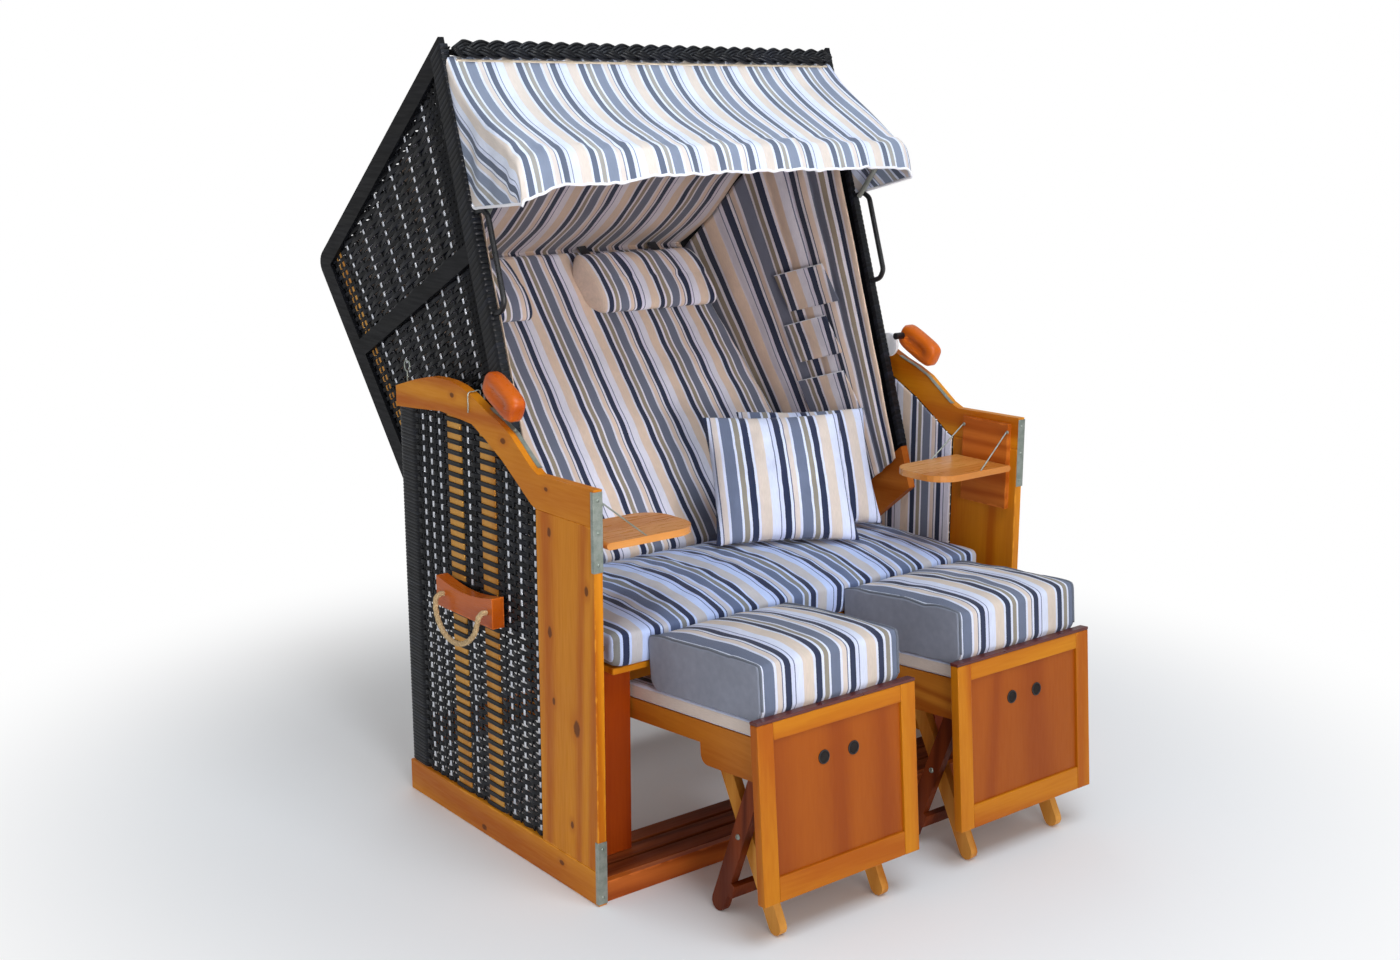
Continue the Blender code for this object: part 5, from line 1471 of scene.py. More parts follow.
@dataclass
class HoodLining:
    """Striped cloth inside the hood: a ceiling, two side cloths and pockets."""

    ceiling_half: float = 0.505
    ceiling_height: float = 0.8735
    ceiling_rear: float = 0.060
    turn_down: float = 0.05
    tack_step: float = 0.36
    side_place: float = 0.5125
    side_rear: float = 0.066
    side_short: float = 0.014
    side_wide: float = 0.40
    pocket_place: float = 0.4962
    pocket_deep: float = 0.105
    pocket_rims: tuple[tuple[tuple[float, float], ...], ...] = (
        ((0.757, 1.090), (0.578, 1.134)), ((0.714, 0.967), (0.562, 1.009)),
        ((0.664, 0.832), (0.494, 0.880)))
    # Painted shade: the ceiling, the side cloths and the pockets are darkened and warmed for the
    # shade inside the hood.
    ceiling_painted_shade: Cloth = Cloth("ceiling_weave_painted_shade", shade=0.66, painted_tint=(1.0, 0.90, 0.86))
    side_painted_shade: Cloth = Cloth("lining_weave_painted_shade", shade=0.96, painted_tint=(1.0, 0.94, 0.92))

    def build(self) -> None:
        """Hangs the ceiling and the sides."""
        self.hang_ceiling()
        for side in Side:
            self.hang_side(side)
        self.sew_pockets(Side.RIGHT)

    def hang_ceiling(self) -> None:
        """Cloth under the roof, tacked across it at even steps, so that it sags between; it
        rises a little to the rear and turns down behind the pad."""
        half, turn_down = self.ceiling_half, self.turn_down
        u, run = np.meshgrid(
            np.linspace(-half, half, 120), np.linspace(0.0, 0.72, 90), indexing="ij")
        sag = 0.014 * np.sin(math.pi * run / self.tack_step) ** 2 + 0.0015 * ripple(
            u, run, 11, 0.12)
        sag -= 0.017 * np.clip(1 - (run - turn_down) / 0.22, 0, 1)
        back = np.clip((turn_down - run) / turn_down, 0, 1)
        points = HOOD.place(
            u, self.ceiling_rear - 1.02 * np.maximum(run - turn_down, 0),
            self.ceiling_height - sag * (1 - back) - turn_down * back)
        sheet = new_piece(
            "ceiling_cloth", grid_shape(points, np.stack([0.10 - u, run], axis=-1)),
            self.ceiling_painted_shade, "hood", ("hood_lining",), Facing.SHEET, thick=CLOTH_THICK)

    def inside(self, u: Floats, w: Floats) -> Floats:
        """Place v at a share from the rear to the front edge of the side cloth."""
        return self.side_rear + u * (front_edge(w) + self.side_short - self.side_rear)

    def fold(self, u: Floats, w: Floats) -> Floats:
        """How far the side cloth stands in from the weave: soft folds that run with the
        stripes, deeper near the front."""
        run = u * 0.45
        fold = np.abs(np.sin(math.pi * run / 0.052 + 0.35 * ripple(run, w * 0.25, 3, 0.35)))
        return 0.0025 + 0.0075 * fold * (0.25 + 0.75 * u) + 0.0012 * ripple(run, w * 0.5, 8, 0.1)

    def hang_side(self, side: Side) -> None:
        """Side cloth from the pad to the hood's front edge."""
        u, w = np.meshgrid(np.linspace(0, 1, 130), np.linspace(0.0, 0.868, 80), indexing="ij")
        v = self.inside(u, w)
        x = side.value * (self.side_place - self.fold(u, w))
        lay = np.stack([self.side_wide * u, w], axis=-1)
        sheet = new_piece(
            f"side_cloth_{side.label}", grid_shape(HOOD.place(x, v, w), lay), self.side_painted_shade,
            "hood", (), Facing.SHEET, thick=CLOTH_THICK)

    def lay_on_side(self, place: Floats) -> Floats:
        """Place on the side cloth under a point of the ground frame, so that the stripes of
        a pocket run on from it."""
        away = place - (HOOD.y, HOOD.z)
        lean = math.radians(HOOD.lean)
        v = away[..., 0] * math.cos(lean) - away[..., 1] * math.sin(lean)
        w = away[..., 0] * math.sin(lean) + away[..., 1] * math.cos(lean)
        share = (v - self.side_rear) / (front_edge(w) + self.side_short - self.side_rear)
        return np.stack([self.side_wide * share + 0.004, w], axis=-1)

    def sew_pockets(self, side: Side) -> None:
        """Three open pockets, one above the other, each a cloth strip with a hemmed edge."""
        for index, (rear, fore) in enumerate(self.pocket_rims):
            ends = np.array((rear, fore)) + (BASE_FRONT, 0.0)
            down = HOOD.turned(0.0, 0.05, -1.0)[1:]
            share, drop = np.meshgrid(np.linspace(0, 1, 50), np.linspace(0, 1, 24), indexing="ij")
            place = ends[0] + share[..., None] * (
                ends[1] - ends[0]) + drop[..., None] * self.pocket_deep * down
            bulge = np.sin(math.pi * share) ** 0.6 * (1 - drop) ** 1.5
            x = side.value * (
                self.pocket_place - 0.005 * bulge - 0.0006 * ripple(share, drop, index + 20, 0.4))
            grid = np.concatenate([np.asarray(x)[..., None], place], axis=-1)
            lay = self.lay_on_side(place)
            pocket = new_piece(
                f"pocket_{index}_{side.label}", grid_shape(grid, lay), self.side_painted_shade, "hood", (),
                Facing.SHEET, thick=CLOTH_THICK)
            hem = tube(grid[:, 0], 0.0011, 8)
            new_piece(f"pocket_hem_{index}_{side.label}", hem, HEM_TAPE, "hood")


@dataclass
class Backrest:
    """Long striped pad on the back rest, with two head bolsters on black tapes."""

    half: float = 0.499
    low: float = -0.030
    high: float = 0.874
    rear: float = 0.062
    bolster_x: float = 0.284
    bolster_half: float = 0.189
    bolster_w: float = 0.738
    bolster_tall: float = 0.092
    bolster_deep: float = 0.081
    tape_middle: float = 0.28
    tape_offsets: tuple[float, float] = (-0.105, 0.12)

    def build(self) -> None:
        """Makes the pad, the bolsters and the tapes."""
        self.make_pad()
        for side in Side:
            self.make_bolster(side)

    @staticmethod
    def face(w: Floats) -> Floats:
        """Front face of the pad at a height up the hood."""
        return 0.0765 - (0.1165 + (0.0215 - 0.1165) * (w + 0.03) / 0.925)

    def make_pad(self) -> None:
        """A pad with a rounded edge, a soft crown and a few shallow creases across."""
        u, v = np.meshgrid(np.linspace(-1, 1, 150), np.linspace(0, 1, 130), indexing="ij")
        w = self.low + (self.high - self.low) * v
        edge = np.minimum(
            np.minimum(1 - np.abs(u), 0.04) / 0.04, np.minimum(np.minimum(v, 1 - v), 0.03) / 0.03)
        round_off = np.sqrt(np.clip(1 - (1 - edge) ** 2, 0, 1))
        crease = 0.0022 * ripple(u * 0.5, w * 3.2, 4, 0.5) * round_off
        crown = 0.008 * (1 - np.abs(u) ** 3)
        depth = (self.face(w) - crown - crease) * round_off + self.rear * (1 - round_off)
        points = HOOD.place(u * self.half, np.minimum(depth, self.rear), w)
        pad = new_piece(
            "pad_cover",
            grid_shape(points, np.stack([0.114 + 0.08 * w - u * self.half, w], axis=-1)), STRIPED,
            "hood", ("backrest_pad",), Facing.SHEET, sharp=180.0, thick=0.004)

    def make_bolster(self, side: Side) -> None:
        """A round bolster that flattens where it lies on the pad, its tapes to the ceiling."""
        count, sides = 90, 56
        share = np.linspace(-1, 1, count)
        turn = np.linspace(0, 2 * math.pi, sides, endpoint=False)
        end = np.clip((1 - np.abs(share)) / 0.10, 0, 1)
        size = 0.30 + 0.70 * np.sqrt(np.clip(1 - (1 - end) ** 2, 0, 1))
        x = side.value * self.bolster_x + share * self.bolster_half
        ring_w = np.sign(np.sin(turn)) * np.abs(np.sin(turn)) ** 0.9 * self.bolster_tall
        ring_v = -np.clip(np.cos(turn) * 0.5 + 0.5, 0, 1) ** 0.75 * self.bolster_deep
        dent = 1 - 0.05 * ripple(x[:, None], turn[None, :] * 0.04, 9 + int(side.value), 0.07)
        w = self.bolster_w + size[:, None] * ring_w[None, :]
        v = self.face(w) + 0.004 + size[:, None] * ring_v[None, :] * dent
        points = HOOD.place(np.broadcast_to(x[:, None], v.shape), v, w)
        run = np.broadcast_to(turn[None, :] * 0.075, v.shape)
        lay = np.stack(
            [np.broadcast_to(0.018 - x[:, None], v.shape), run, np.zeros_like(v)], axis=-1)
        cover = new_piece(
            f"bolster_cover_{side.label}", ring_stack(points, lay), STRIPED, "hood",
            (f"bolster_{side.label}",), sharp=60.0)
        for index, offset in enumerate(self.tape_offsets):
            x = side.value * self.tape_middle + offset
            start = HOOD.place(x, self.face(0.82) - 0.012, 0.818)
            stop = HOOD.place(x - 0.004, self.face(0.88) - 0.008, 0.892)
            line = curve_through([start, (start + stop) / 2 + (0, -0.002, 0), stop], 0.004)[None]
            tape = bars(
                line, ACROSS, HOOD.turned(0, -1.0, 0.3),
                np.array(((-0.5, -0.4), (-0.5, 0.4), (0.5, 0.4), (0.5, -0.4))) * (0.027, 0.0016))
            new_piece(f"bolster_tape_{index}_{side.label}", tape, BLACK_TAPE, "hood")


def cushion_block(low: Point, high: Point, corner: float, steps: int = 14) -> Shape:
    """A box with rounded upright corners, as a closed grid of rings over its height.

    Args:
        low: lowest corner.
        high: highest corner.
        corner: radius of the upright corners.
        steps: rings over the height.

    Returns:
        The closed block.
    """
    (x0, y0, z0), (x1, y1, z1) = low, high
    turn = np.linspace(0, math.pi / 2, 7)
    left, right, front, rear = x0 + corner, x1 - corner, y0 + corner, y1 - corner
    arcs = []
    for index, (x, y) in enumerate(((right, rear), (left, rear), (left, front), (right, front))):
        bend = turn + index * math.pi / 2
        arcs.append(np.stack([x + corner * np.cos(bend), y + corner * np.sin(bend)], axis=1))
    ring = np.concatenate(arcs)
    around = np.broadcast_to(ring, (steps, *ring.shape))
    height = np.broadcast_to(np.linspace(z0, z1, steps)[:, None, None], (steps, len(ring), 1))
    return ring_stack(np.concatenate([around, height], axis=2))


@dataclass
class SeatCushion:
    """Long striped cushion on the seat."""

    low: Point = (-0.5065, -0.378, 0.4515)
    high: Point = (0.5065, 0.055, 0.5190)
    widest: float = 0.515
    crown: float = 0.029
    swell: Padding = Padding(voxel=0.008, pressure=2.0, cap=0.008)

    def build(self) -> None:
        """Fills the cushion and gives its stripes their place."""
        piece = new_piece(
            "seat_cover", cushion_block(self.low, self.high, 0.02), SEAT_CLOTH_PAINTED_SHADE, "base",
            ("seat_cushion",), sharp=180.0)
        self.swell.fill(piece, (np.array((0.0, 0.0, self.low[2])), np.array((0.0, 0.0, 1.0))))
        points = points_of(piece.data)
        x, y, z = points.T
        crown = (1 - np.clip(np.abs(x) / 0.5, 0, 1) ** 4) * (
            1 - np.abs((y + 0.16) / 0.218).clip(0, 1) ** 2.2)
        top = np.clip((z - 0.485) / 0.03, 0, 1)
        wrinkle = 0.0022 * ripple(x * 1.2, y * 0.7, 31, 0.075) * np.clip((y + 0.39) / 0.05, 0, 1)
        points[:, 2] += top * (self.crown * crown + wrinkle)
        points[:, 0] = np.clip(points[:, 0], -self.widest, self.widest)
        put_points(piece.data, points)
        run = np.where(z > 0.513, y - self.low[1], z - self.high[2])
        put_attribute(
            piece.data, LAY, np.stack([points[:, 0] + 0.058, run, np.zeros(len(x))], axis=1))


@dataclass
class Pillow:
    """A loose pillow with a knife edge and pulled-out corners, leaning in the seat."""

    name: str
    wide: float
    foot: Point
    tall: float
    lean: float = 52.0
    turn: float = -28.5
    thick: float = 0.104
    draw: float = 0.075

    def axes(self) -> tuple[Floats, Floats, Floats]:
        """Directions across, up and out of the pillow."""
        turn, lean = math.radians(self.turn), math.radians(self.lean)
        across = np.array((math.cos(turn), math.sin(turn), 0.0))
        ahead = np.array((-math.sin(turn), math.cos(turn), 0.0))
        up = ahead * math.cos(lean) + np.array((0.0, 0.0, math.sin(lean)))
        return across, up, np.cross(across, up)

    def build(self) -> None:
        """Two square faces that meet in a thin edge; half thickness at a place is
        T ((1 - u^2)(1 - v^2))^0.42, and the edges draw in between the corners."""
        across, up, out = self.axes()
        count = 96
        u, v = np.meshgrid(np.linspace(-1, 1, count), np.linspace(-1, 1, count), indexing="ij")
        full = np.clip((1 - u ** 2) * (1 - v ** 2), 0, 1) ** 0.42
        a = u * self.wide / 2 * (1 - self.draw * (1 - v ** 2))
        b = v * self.tall / 2 * (1 - self.draw * (1 - u ** 2))
        crease = 0.003 * ripple(u * 0.5, v * 0.5, len(self.name), 0.22) * full
        spokes = 0.0024 * np.sin(9 * np.arctan2(v, u) + 1.3) * np.clip(
            np.hypot(u, v) - 0.45, 0, 1) * full
        origin = np.array(self.foot) + (0, BASE_FRONT, 0) + up * self.tall / 2
        shapes = []
        for face in (1.0, -1.0):
            height = face * (0.5 * self.thick * full + crease + spokes + 0.0015)
            points = origin + a[..., None] * across + b[..., None] * up + height[..., None] * out
            grid = points if face > 0 else points[::-1]
            lay = np.stack([a + 0.078 + 0.05 * (self.wide < 0.35), b, np.zeros_like(a)], axis=-1)
            shapes.append(grid_shape(grid, lay if face > 0 else lay[::-1]))
        shape = joined(shapes)
        piece = new_piece(
            f"{self.name}_cover", shape, PAINTED_SKYLIGHT_CLOTH, "base", (self.name,), Facing.SHEET,
            sharp=180.0)
        work = bmesh.new()
        work.from_mesh(piece.data)
        bmesh.ops.remove_doubles(work, verts=work.verts[:], dist=0.0035)
        bmesh.ops.recalc_face_normals(work, faces=work.faces[:])
        work.to_mesh(piece.data)
        work.free()
        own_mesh(piece)


@dataclass
class Awning:
    """Striped cloth over the opening: from the braid over the bow down to a white hem, with
    a flap down each side to the hood's edge."""

    half: float = 0.529
    corner: float = 0.016
    line: tuple[tuple[float, float], ...] = (
        (0.592, 1.608), (0.575, 1.5885), (0.545, 1.5580), (0.495, 1.5205), (0.430, 1.4800),
        (0.372, 1.4450), (0.345, 1.4305), (0.333, 1.4220), (0.326, 1.4090), (0.320, 1.3880),
        (0.314, 1.3560))
    droop: tuple[tuple[float, float], ...] = (
        (-0.53, -0.013), (-0.515, -0.021), (-0.48, -0.010), (-0.445, 0.002), (-0.30, 0.003),
        (-0.20, 0.017), (0.45, 0.019), (0.53, 0.010))

    def build(self) -> None:
        """Makes the sheet and its hems, and bakes them in place."""
        across, over, down = self.columns()
        t = np.linspace(0, 1, 120)[None, :]
        line = self.profile()
        y = np.interp(t, np.linspace(0, 1, len(line)), line[:, 0])
        z = np.interp(t, np.linspace(0, 1, len(line)), line[:, 1])
        x, turn, drop = (k[:, None] for k in (across, over, down))
        hang = np.clip((t - 0.72) / 0.28, 0, 1)
        slack = np.sin(math.pi * np.clip(t / 0.72, 0, 1))
        level = 1 - np.clip(drop * 3, 0, 1)
        sag = 0.012 * np.sin(math.pi * np.clip(t / 0.69, 0, 1)) * (1 - (x / self.half) ** 2) * level
        folds = 0.0022 * slack * ripple(x, t * 0.05, 17, 0.14) * level
        gather = ripple(x, t * 0.03, 23, 0.045)
        pinch = (0.0046 * np.exp(-((t - 0.775) / 0.03) ** 2) + 0.0036 * hang) * gather
        swing = 0.006 * hang * ripple(x, 0 * x, 41, 0.30)
        lift = (folds + pinch - sag) * np.clip(t / 0.05, 0, 1)
        fall = np.interp(x, *np.array(self.droop).T) * hang + (0.0075 * x / self.half) * slack
        billow = 0.004 * np.sin(math.pi * drop) * ripple(t * 0.4, drop * 0.05, 29, 0.12)
        top = z + 0.78 * lift + fall - self.corner * (1 - np.cos(turn))
        front_low = self.line[-1][1] - self.corner + np.interp(x, *np.array(self.droop).T)
        low = np.maximum(
            self.edge_height(y) - self.corner,
            front_low + (1.312 - front_low) * (y - 0.314) / 0.156)
        flap = np.clip(top - low, 0.002, None) * drop
        points = np.stack(
            [x + np.sign(x) * billow, y + BASE_FRONT - 0.62 * lift - swing, top - flap], axis=-1)
        run = np.sign(x) * (np.abs(x) + self.corner * 0.57 * turn / (math.pi / 2) + flap)
        drawn = 1 + 0.026 * np.clip(1 - 2 * t, 0, 1)
        lay = np.stack([0.037 * t - 0.379 + (self.half - run) * drawn, t * 0.40 + 0 * x], axis=-1)
        sheet = new_piece(
            "awning_sheet", grid_shape(points, lay), AWNING_CLOTH, "", ("awning_cloth",),
            Facing.SHEET, sharp=180.0, thick=0.0014)
        self.bend(sheet)
        hem = np.concatenate(
            [self.rear_hem(points[0])[::-1], points[1:-1, -1], self.rear_hem(points[-1])])
        ribbon = curve_through(hem, 0.006)
        self.bend(new_piece("awning_hem", tube(ribbon, 0.0031, 10), HEM_TAPE, ""))
        self.bend(new_piece("awning_top_hem", tube(points[32:-32, 3], 0.0030, 8), CREAM_TAPE, ""))

    @staticmethod
    def rear_hem(edge: Floats) -> Floats:
        """Lower edge of a flap from the front corner back to the hood's edge."""
        keep = edge[edge[:, 2] < 1.362]
        return keep[np.argsort(keep[:, 1])][::6]

    def columns(self) -> tuple[Floats, Floats, Floats]:
        """Places across, turns round the corner and shares down the flap, column by column."""
        flat = np.linspace(-self.half + self.corner, self.half - self.corner, 170)
        bend = np.linspace(0, math.pi / 2, 7)[1:]
        share = np.linspace(0, 1, 26)[1:]
        side_x = np.concatenate(
            [self.half - self.corner + self.corner * np.sin(bend), np.full(25, self.half)])
        side_turn = np.concatenate([bend, np.full(25, math.pi / 2)])
        side_drop = np.concatenate([np.zeros(6), share])
        across = np.concatenate([-side_x[::-1], flat, side_x])
        over = np.concatenate([side_turn[::-1], 0 * flat, side_turn])
        down = np.concatenate([side_drop[::-1], 0 * flat, side_drop])
        return across, over, down

    @staticmethod
    def edge_height(y: Floats) -> Floats:
        """Height of the hood's front edge above a place."""
        w = np.linspace(0.2, 0.93, 40)
        edge = HOOD.place(0.0, front_edge(w), w)
        return np.interp(y, edge[:, 1] - BASE_FRONT, edge[:, 2])

    def profile(self) -> Floats:
        """The slope's line as places and heights."""
        return curve_through(np.array(self.line), 0.003)

    def bend(self, piece: bpy.types.Object) -> None:
        """Bakes the piece's placement into its mesh."""
        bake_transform(piece)


# Painted light: the awning's stripes are washed towards pale blue, tinted cool and dimmed a little,
# as by strong light from above.
AWNING_CLOTH = Cloth("awning_weave_painted_light", shade=0.98, painted_tint=(0.94, 1.0, 1.07), painted_light_wash=0.16)
HEM_TAPE = Cloth("hem_tape", paint(240, 240, 246))
CREAM_TAPE = Cloth("cream_tape", paint(232, 216, 192))


@dataclass
class Footrest:
    """One pull-out footrest: framed front panel, thin pad, thick cushion and legs."""

    side: Side
    panel_half: float = 0.199
    panel_low: float = -0.348
    panel_high: float = -0.006
    upright: float = 0.038
    foot_rail: float = 0.048
    top_rail: float = 0.034
    hole: tuple[float, float, float] = (0.0375, -0.1015, 0.0125)  # across, up and radius
    pad_low: Point = (-0.1745, 0.0215, -0.0414)
    pad_high: Point = (0.1745, 0.4385, -0.0112)
    cushion_low: Point = (-0.178, 0.0235, -0.0102)
    cushion_high: Point = (0.178, 0.341, 0.094)
    side_seam: float = 0.1715
    widest: float = 0.1765
    squash_foot: Point = (0.0, 0.18, -0.0108)
    swell: Padding = Padding(voxel=0.006, pressure=3.4, cap=0.012)

    @property
    def body(self) -> str:
        """The body that slides."""
        return f"drawer_{self.side.label}"

    def build(self, nodes: Nodes) -> None:
        """Dresses the wood and fits the panel, the pad and the cushion."""
        name = self.side.label
        dress(
            nodes, f"footrest_frame_{name}",
            Wood(f"pine_drawer_{name}", paint(206, 132, 44), paint(160, 84, 16), Axis.Y))
        dress(
            nodes, f"leg_front_{name}",
            Wood(f"pine_leg_{name}", paint(222, 160, 74), paint(182, 112, 34), Axis.Z))
        dress(
            nodes, f"leg_rear_{name}",
            Wood(f"stain_leg_{name}", paint(138, 62, 22), paint(88, 32, 8), Axis.Z))
        self.frame_panel()
        self.lay_pad()
        self.make_cushion()

    def frame_panel(self) -> None:
        """Four frame boards round a sunk plywood panel with two finger holes, each drawn as a dark
        disc of painted shadow in a black rim.
        """
        frame, name = drawer_frame(self.side), self.side.label
        half, low, high = self.panel_half, self.panel_low, self.panel_high
        foot, top, inner = low + self.foot_rail, high - self.top_rail, half - self.upright
        uprights = [
            board(frame, (x - self.upright / 2, 0.0, low), (x + self.upright / 2, 0.020, high))
            for x in (self.upright / 2 - half, half - self.upright / 2)]
        rails = [
            board(frame, (0.0004 - inner, 0.0003, base), (inner - 0.0004, 0.0197, crown))
            for base, crown in ((low, foot), (top, high))]
        pine = Wood(f"panel_pine_{name}", paint(200, 128, 16), paint(168, 86, 6), Axis.Z)
        cross = Wood(f"panel_rail_{name}", paint(200, 128, 16), paint(168, 86, 6), Axis.X)
        new_piece(
            f"panel_uprights_{name}", joined(uprights), pine, self.body,
            (f"footrest_panel_{name}",), bevel=0.0012)
        new_piece(f"panel_rails_{name}", joined(rails), cross, self.body, bevel=0.0012)
        ply = Wood(
            f"panel_ply_{name}", paint(164, 84, 10), paint(142, 64, 5), Axis.Z, 5.0, rough=0.36,
            coat=0.08)
        sheet = board(
            frame, (-inner - 0.004, 0.0052, foot - 0.004), (inner + 0.004, 0.0096, top + 0.004))
        new_piece(f"panel_plywood_{name}", sheet, ply, self.body)
        holes, rims = [], []
        place, height, radius = self.hole
        out, up = frame.turned(0.0, -1.0, 0.0), frame.turned(0.0, 0.0, 1.0)
        for x in (-place, place):
            centre = frame.place(x, 0.0050, height)
            turn = np.linspace(0, 2 * math.pi, 29)[:-1]
            ring = centre + radius * (np.cos(turn)[:, None] * ACROSS + np.sin(turn)[:, None] * up)
            ring = np.vstack([ring, ring[:1]])
            rims.append(tube(ring + out * 0.0004, 0.0014, 8))
            # Painted shadow: a dark disc just in front of the plywood stands for the shade inside
            # each finger hole.
            disc = np.stack(np.broadcast_arrays(centre, ring[:-1])) + out * 0.0003
            holes.append(
                Shape(disc.reshape(-1, 3), grid_quads(2, 28, wrap=True), [], disc.reshape(-1, 3)))
        new_piece(f"panel_holes_{name}", joined(holes), HOLE_SHADOW, self.body, facing=Facing.SHEET)
        new_piece(f"panel_rims_{name}", joined(rims), BLACK_PLASTIC, self.body)
        strip = board(frame, (-half - 0.0006, -0.0006, -0.0058), (half + 0.0006, 0.0206, 0.0003))
        new_piece(f"panel_strip_{name}", strip, MAROON, self.body, bevel=0.0012)

    def lay_pad(self) -> None:
        """The thin striped pad under the cushion."""
        frame = drawer_frame(self.side)
        block = cushion_block(self.pad_low, self.pad_high, 0.012, 6)
        points = block.points.copy()
        drop = np.where(np.abs(points[:, 0]) > 0.17, self.pad_high[2] - points[:, 2], 0.0)
        across = points[:, 0] + np.sign(points[:, 0]) * drop + 0.2685
        lay = np.stack([across, points[:, 1], 0 * drop], axis=1)
        shape = Shape(frame.place(*points.T), block.quads, block.caps, lay)
        piece = new_piece(
            f"pad_cover_{self.side.label}", shape, PAINTED_SKYLIGHT_CLOTH, self.body,
            (f"footrest_pad_{self.side.label}",), sharp=60.0, bevel=0.005)

    def make_cushion(self) -> None:
        """The thick cushion: grey sides, striped top, a piped seam where they meet."""
        frame, name = drawer_frame(self.side), self.side.label
        low, high = self.cushion_low, self.cushion_high
        block = cushion_block(low, high, 0.022, 16)
        shape = Shape(frame.place(*block.points.T), block.quads, block.caps, block.lay)
        piece = new_piece(
            f"footrest_cover_{name}", shape, TWO_TONE_PAINTED_SHADE, self.body, (f"footrest_cushion_{name}",),
            sharp=180.0)
        floor = frame.place(0.0, 0.0, low[2])
        self.swell.fill(piece, (floor, frame.turned(0.0, 0.0, 1.0)))
        world = points_of(piece.data)
        origin = frame.place(-frame.x, 0.0, 0.0)
        back, up = frame.turned(0.0, 1.0, 0.0), frame.turned(0.0, 0.0, 1.0)
        local = np.stack(
            [world[:, 0] - frame.x, (world - origin) @ back, (world - origin) @ up], axis=1)
        x, y, z = local.T
        middle_y = (low[1] + high[1]) / 2
        crown = (1 - np.abs(x / 0.19).clip(0, 1) ** 2.4) * (
            1 - np.abs((y - middle_y) / 0.172).clip(0, 1) ** 2.4)
        top = np.clip((z - 0.05) / 0.04, 0, 1)
        wrinkle = 0.0016 * ripple(x, y, 51 + int(self.side.value), 0.09)
        local[:, 2] += top * (0.013 * crown + wrinkle)
        local[:, 0] = np.clip(x, -self.widest, self.widest)
        x, y, z = local.T
        put_points(piece.data, frame.place(x, y, z))
        put_attribute(piece.data, LAY, np.stack([0.018 - x, y + 0.5, z], axis=1))
        put_attribute(piece.data, "side_panel", np.abs(x) - self.side_seam)
        self.sew_piping(piece, frame, middle_y)
        axis = tuple(frame.turned(0.0, 0.0, -1.0))
        tuple(frame.place(*self.squash_foot))
        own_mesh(piece)

    def sew_piping(self, piece: bpy.types.Object, frame: TiltedFrame, middle: float) -> None:
        """Piping round both grey sides: rays go out from the middle of the side and the
        cord lies where they leave the cushion."""
        tree = BVHTree.FromObject(piece, bpy.context.evaluated_depsgraph_get())
        back, up = frame.turned(0.0, 1.0, 0.0), frame.turned(0.0, 0.0, 1.0)
        for hand in Side:
            centre = frame.place(hand.value * self.side_seam, middle, 0.044)
            path = []
            for turn in np.linspace(-0.06 * math.pi, 1.06 * math.pi, 150):
                way = math.cos(turn) * back + math.sin(turn) * up
                found = tree.ray_cast(Vector(centre), Vector(way))
                if found[0] is not None:
                    path.append(np.array(found[0]) + 0.0006 * way)
            cord = new_piece(
                f"piping_{hand.label}_{self.side.label}", tube(np.array(path), 0.0028, 8),
                GREY_CORD, self.body, sharp=180.0)
            tuple(frame.place(*self.squash_foot))
            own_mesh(cord)


GREY_CORD = Cloth("grey_cord", paint(104, 110, 122))
# The grey sides are the cloth's own colour; its lower shade and blue tint are painted shade that
# darkens and cools the whole cushion.
TWO_TONE_PAINTED_SHADE = Cloth("two_tone_weave", shade=0.88, painted_tint=(0.92, 0.98, 1.08), panel=True)
# Painted shadow: the near-black colour of the finger-hole discs.
HOLE_SHADOW = Plain("hole_painted_shadow", paint(22, 12, 8), 0.9)
MAROON = Plain("maroon_strip", paint(92, 40, 36), 0.35)


# Handles and small metal


@dataclass
class Grip:
    """Varnished hand grip on a black neck beside the arm, with its white roller.

    The block lies along a slanting line beside the arm; place, length and lean follow the
    model's own grip.
    """

    side: Side
    middle: float = 0.578
    inner: float = 0.5362
    neck: tuple[float, float] = (-0.0675, 0.9755)
    roller: tuple[float, float] = (-0.0425, 0.953)
    rings: tuple[Point, ...] = (
        (0.022, 0.003, 0.0145), (0.030, 0.0065, 0.015), (0.034, 0.0095, 0.018),
        (0.051, 0.021, 0.018), (0.0565, 0.0265, 0.0145), (0.060, 0.030, 0.008))

    def build(self) -> None:
        """Makes the block with a sunk groove in both faces and the white disc behind it.

        Each ring is the curve |a / A|^4 + |b / B|^4 = 1, and the rings run from the groove
        of one face over the rim to the groove of the other.
        """
        name, sign = self.side.label, self.side.value
        turn = np.linspace(0, 2 * math.pi, 48, endpoint=False)
        rings = np.array(self.rings)
        rings = np.vstack([rings * (1, 1, -1), rings[::-1]])
        along = rings[:, :1] * np.sign(np.cos(turn)) * np.abs(np.cos(turn)) ** 0.5
        up = rings[:, 1:2] * np.sign(np.sin(turn)) * np.abs(np.sin(turn)) ** 0.5
        block = ring_stack(GRIP_FRAME.place(sign * self.middle + rings[:, 2:], along, up))
        new_piece(
            f"grip_block_{name}", block, ORANGE, "hood", (f"grip_{name}",),
            sharp=60.0)
        neck = np.array([(sign * x, *self.neck) for x in np.linspace(self.inner, 0.5640, 6)])
        new_piece(f"grip_neck_{name}", tube(neck, 0.008, 20), BLACK_PAINT, "hood")
        x = self.inner + np.array([0.0, 0.0002, 0.0078, 0.0100, 0.0106])
        radius = np.array([0.026, 0.028, 0.028, 0.026, 0.018])
        disc = np.stack([sign * x, 0 * x + self.roller[0], 0 * x + self.roller[1]], axis=1)
        new_piece(f"grip_disc_{name}", tube(disc, radius, 32), WHITE_PLASTIC, "hood", sharp=30.0)


GRIP_FRAME = TiltedFrame(-0.1077, 0.9552, -26.8)


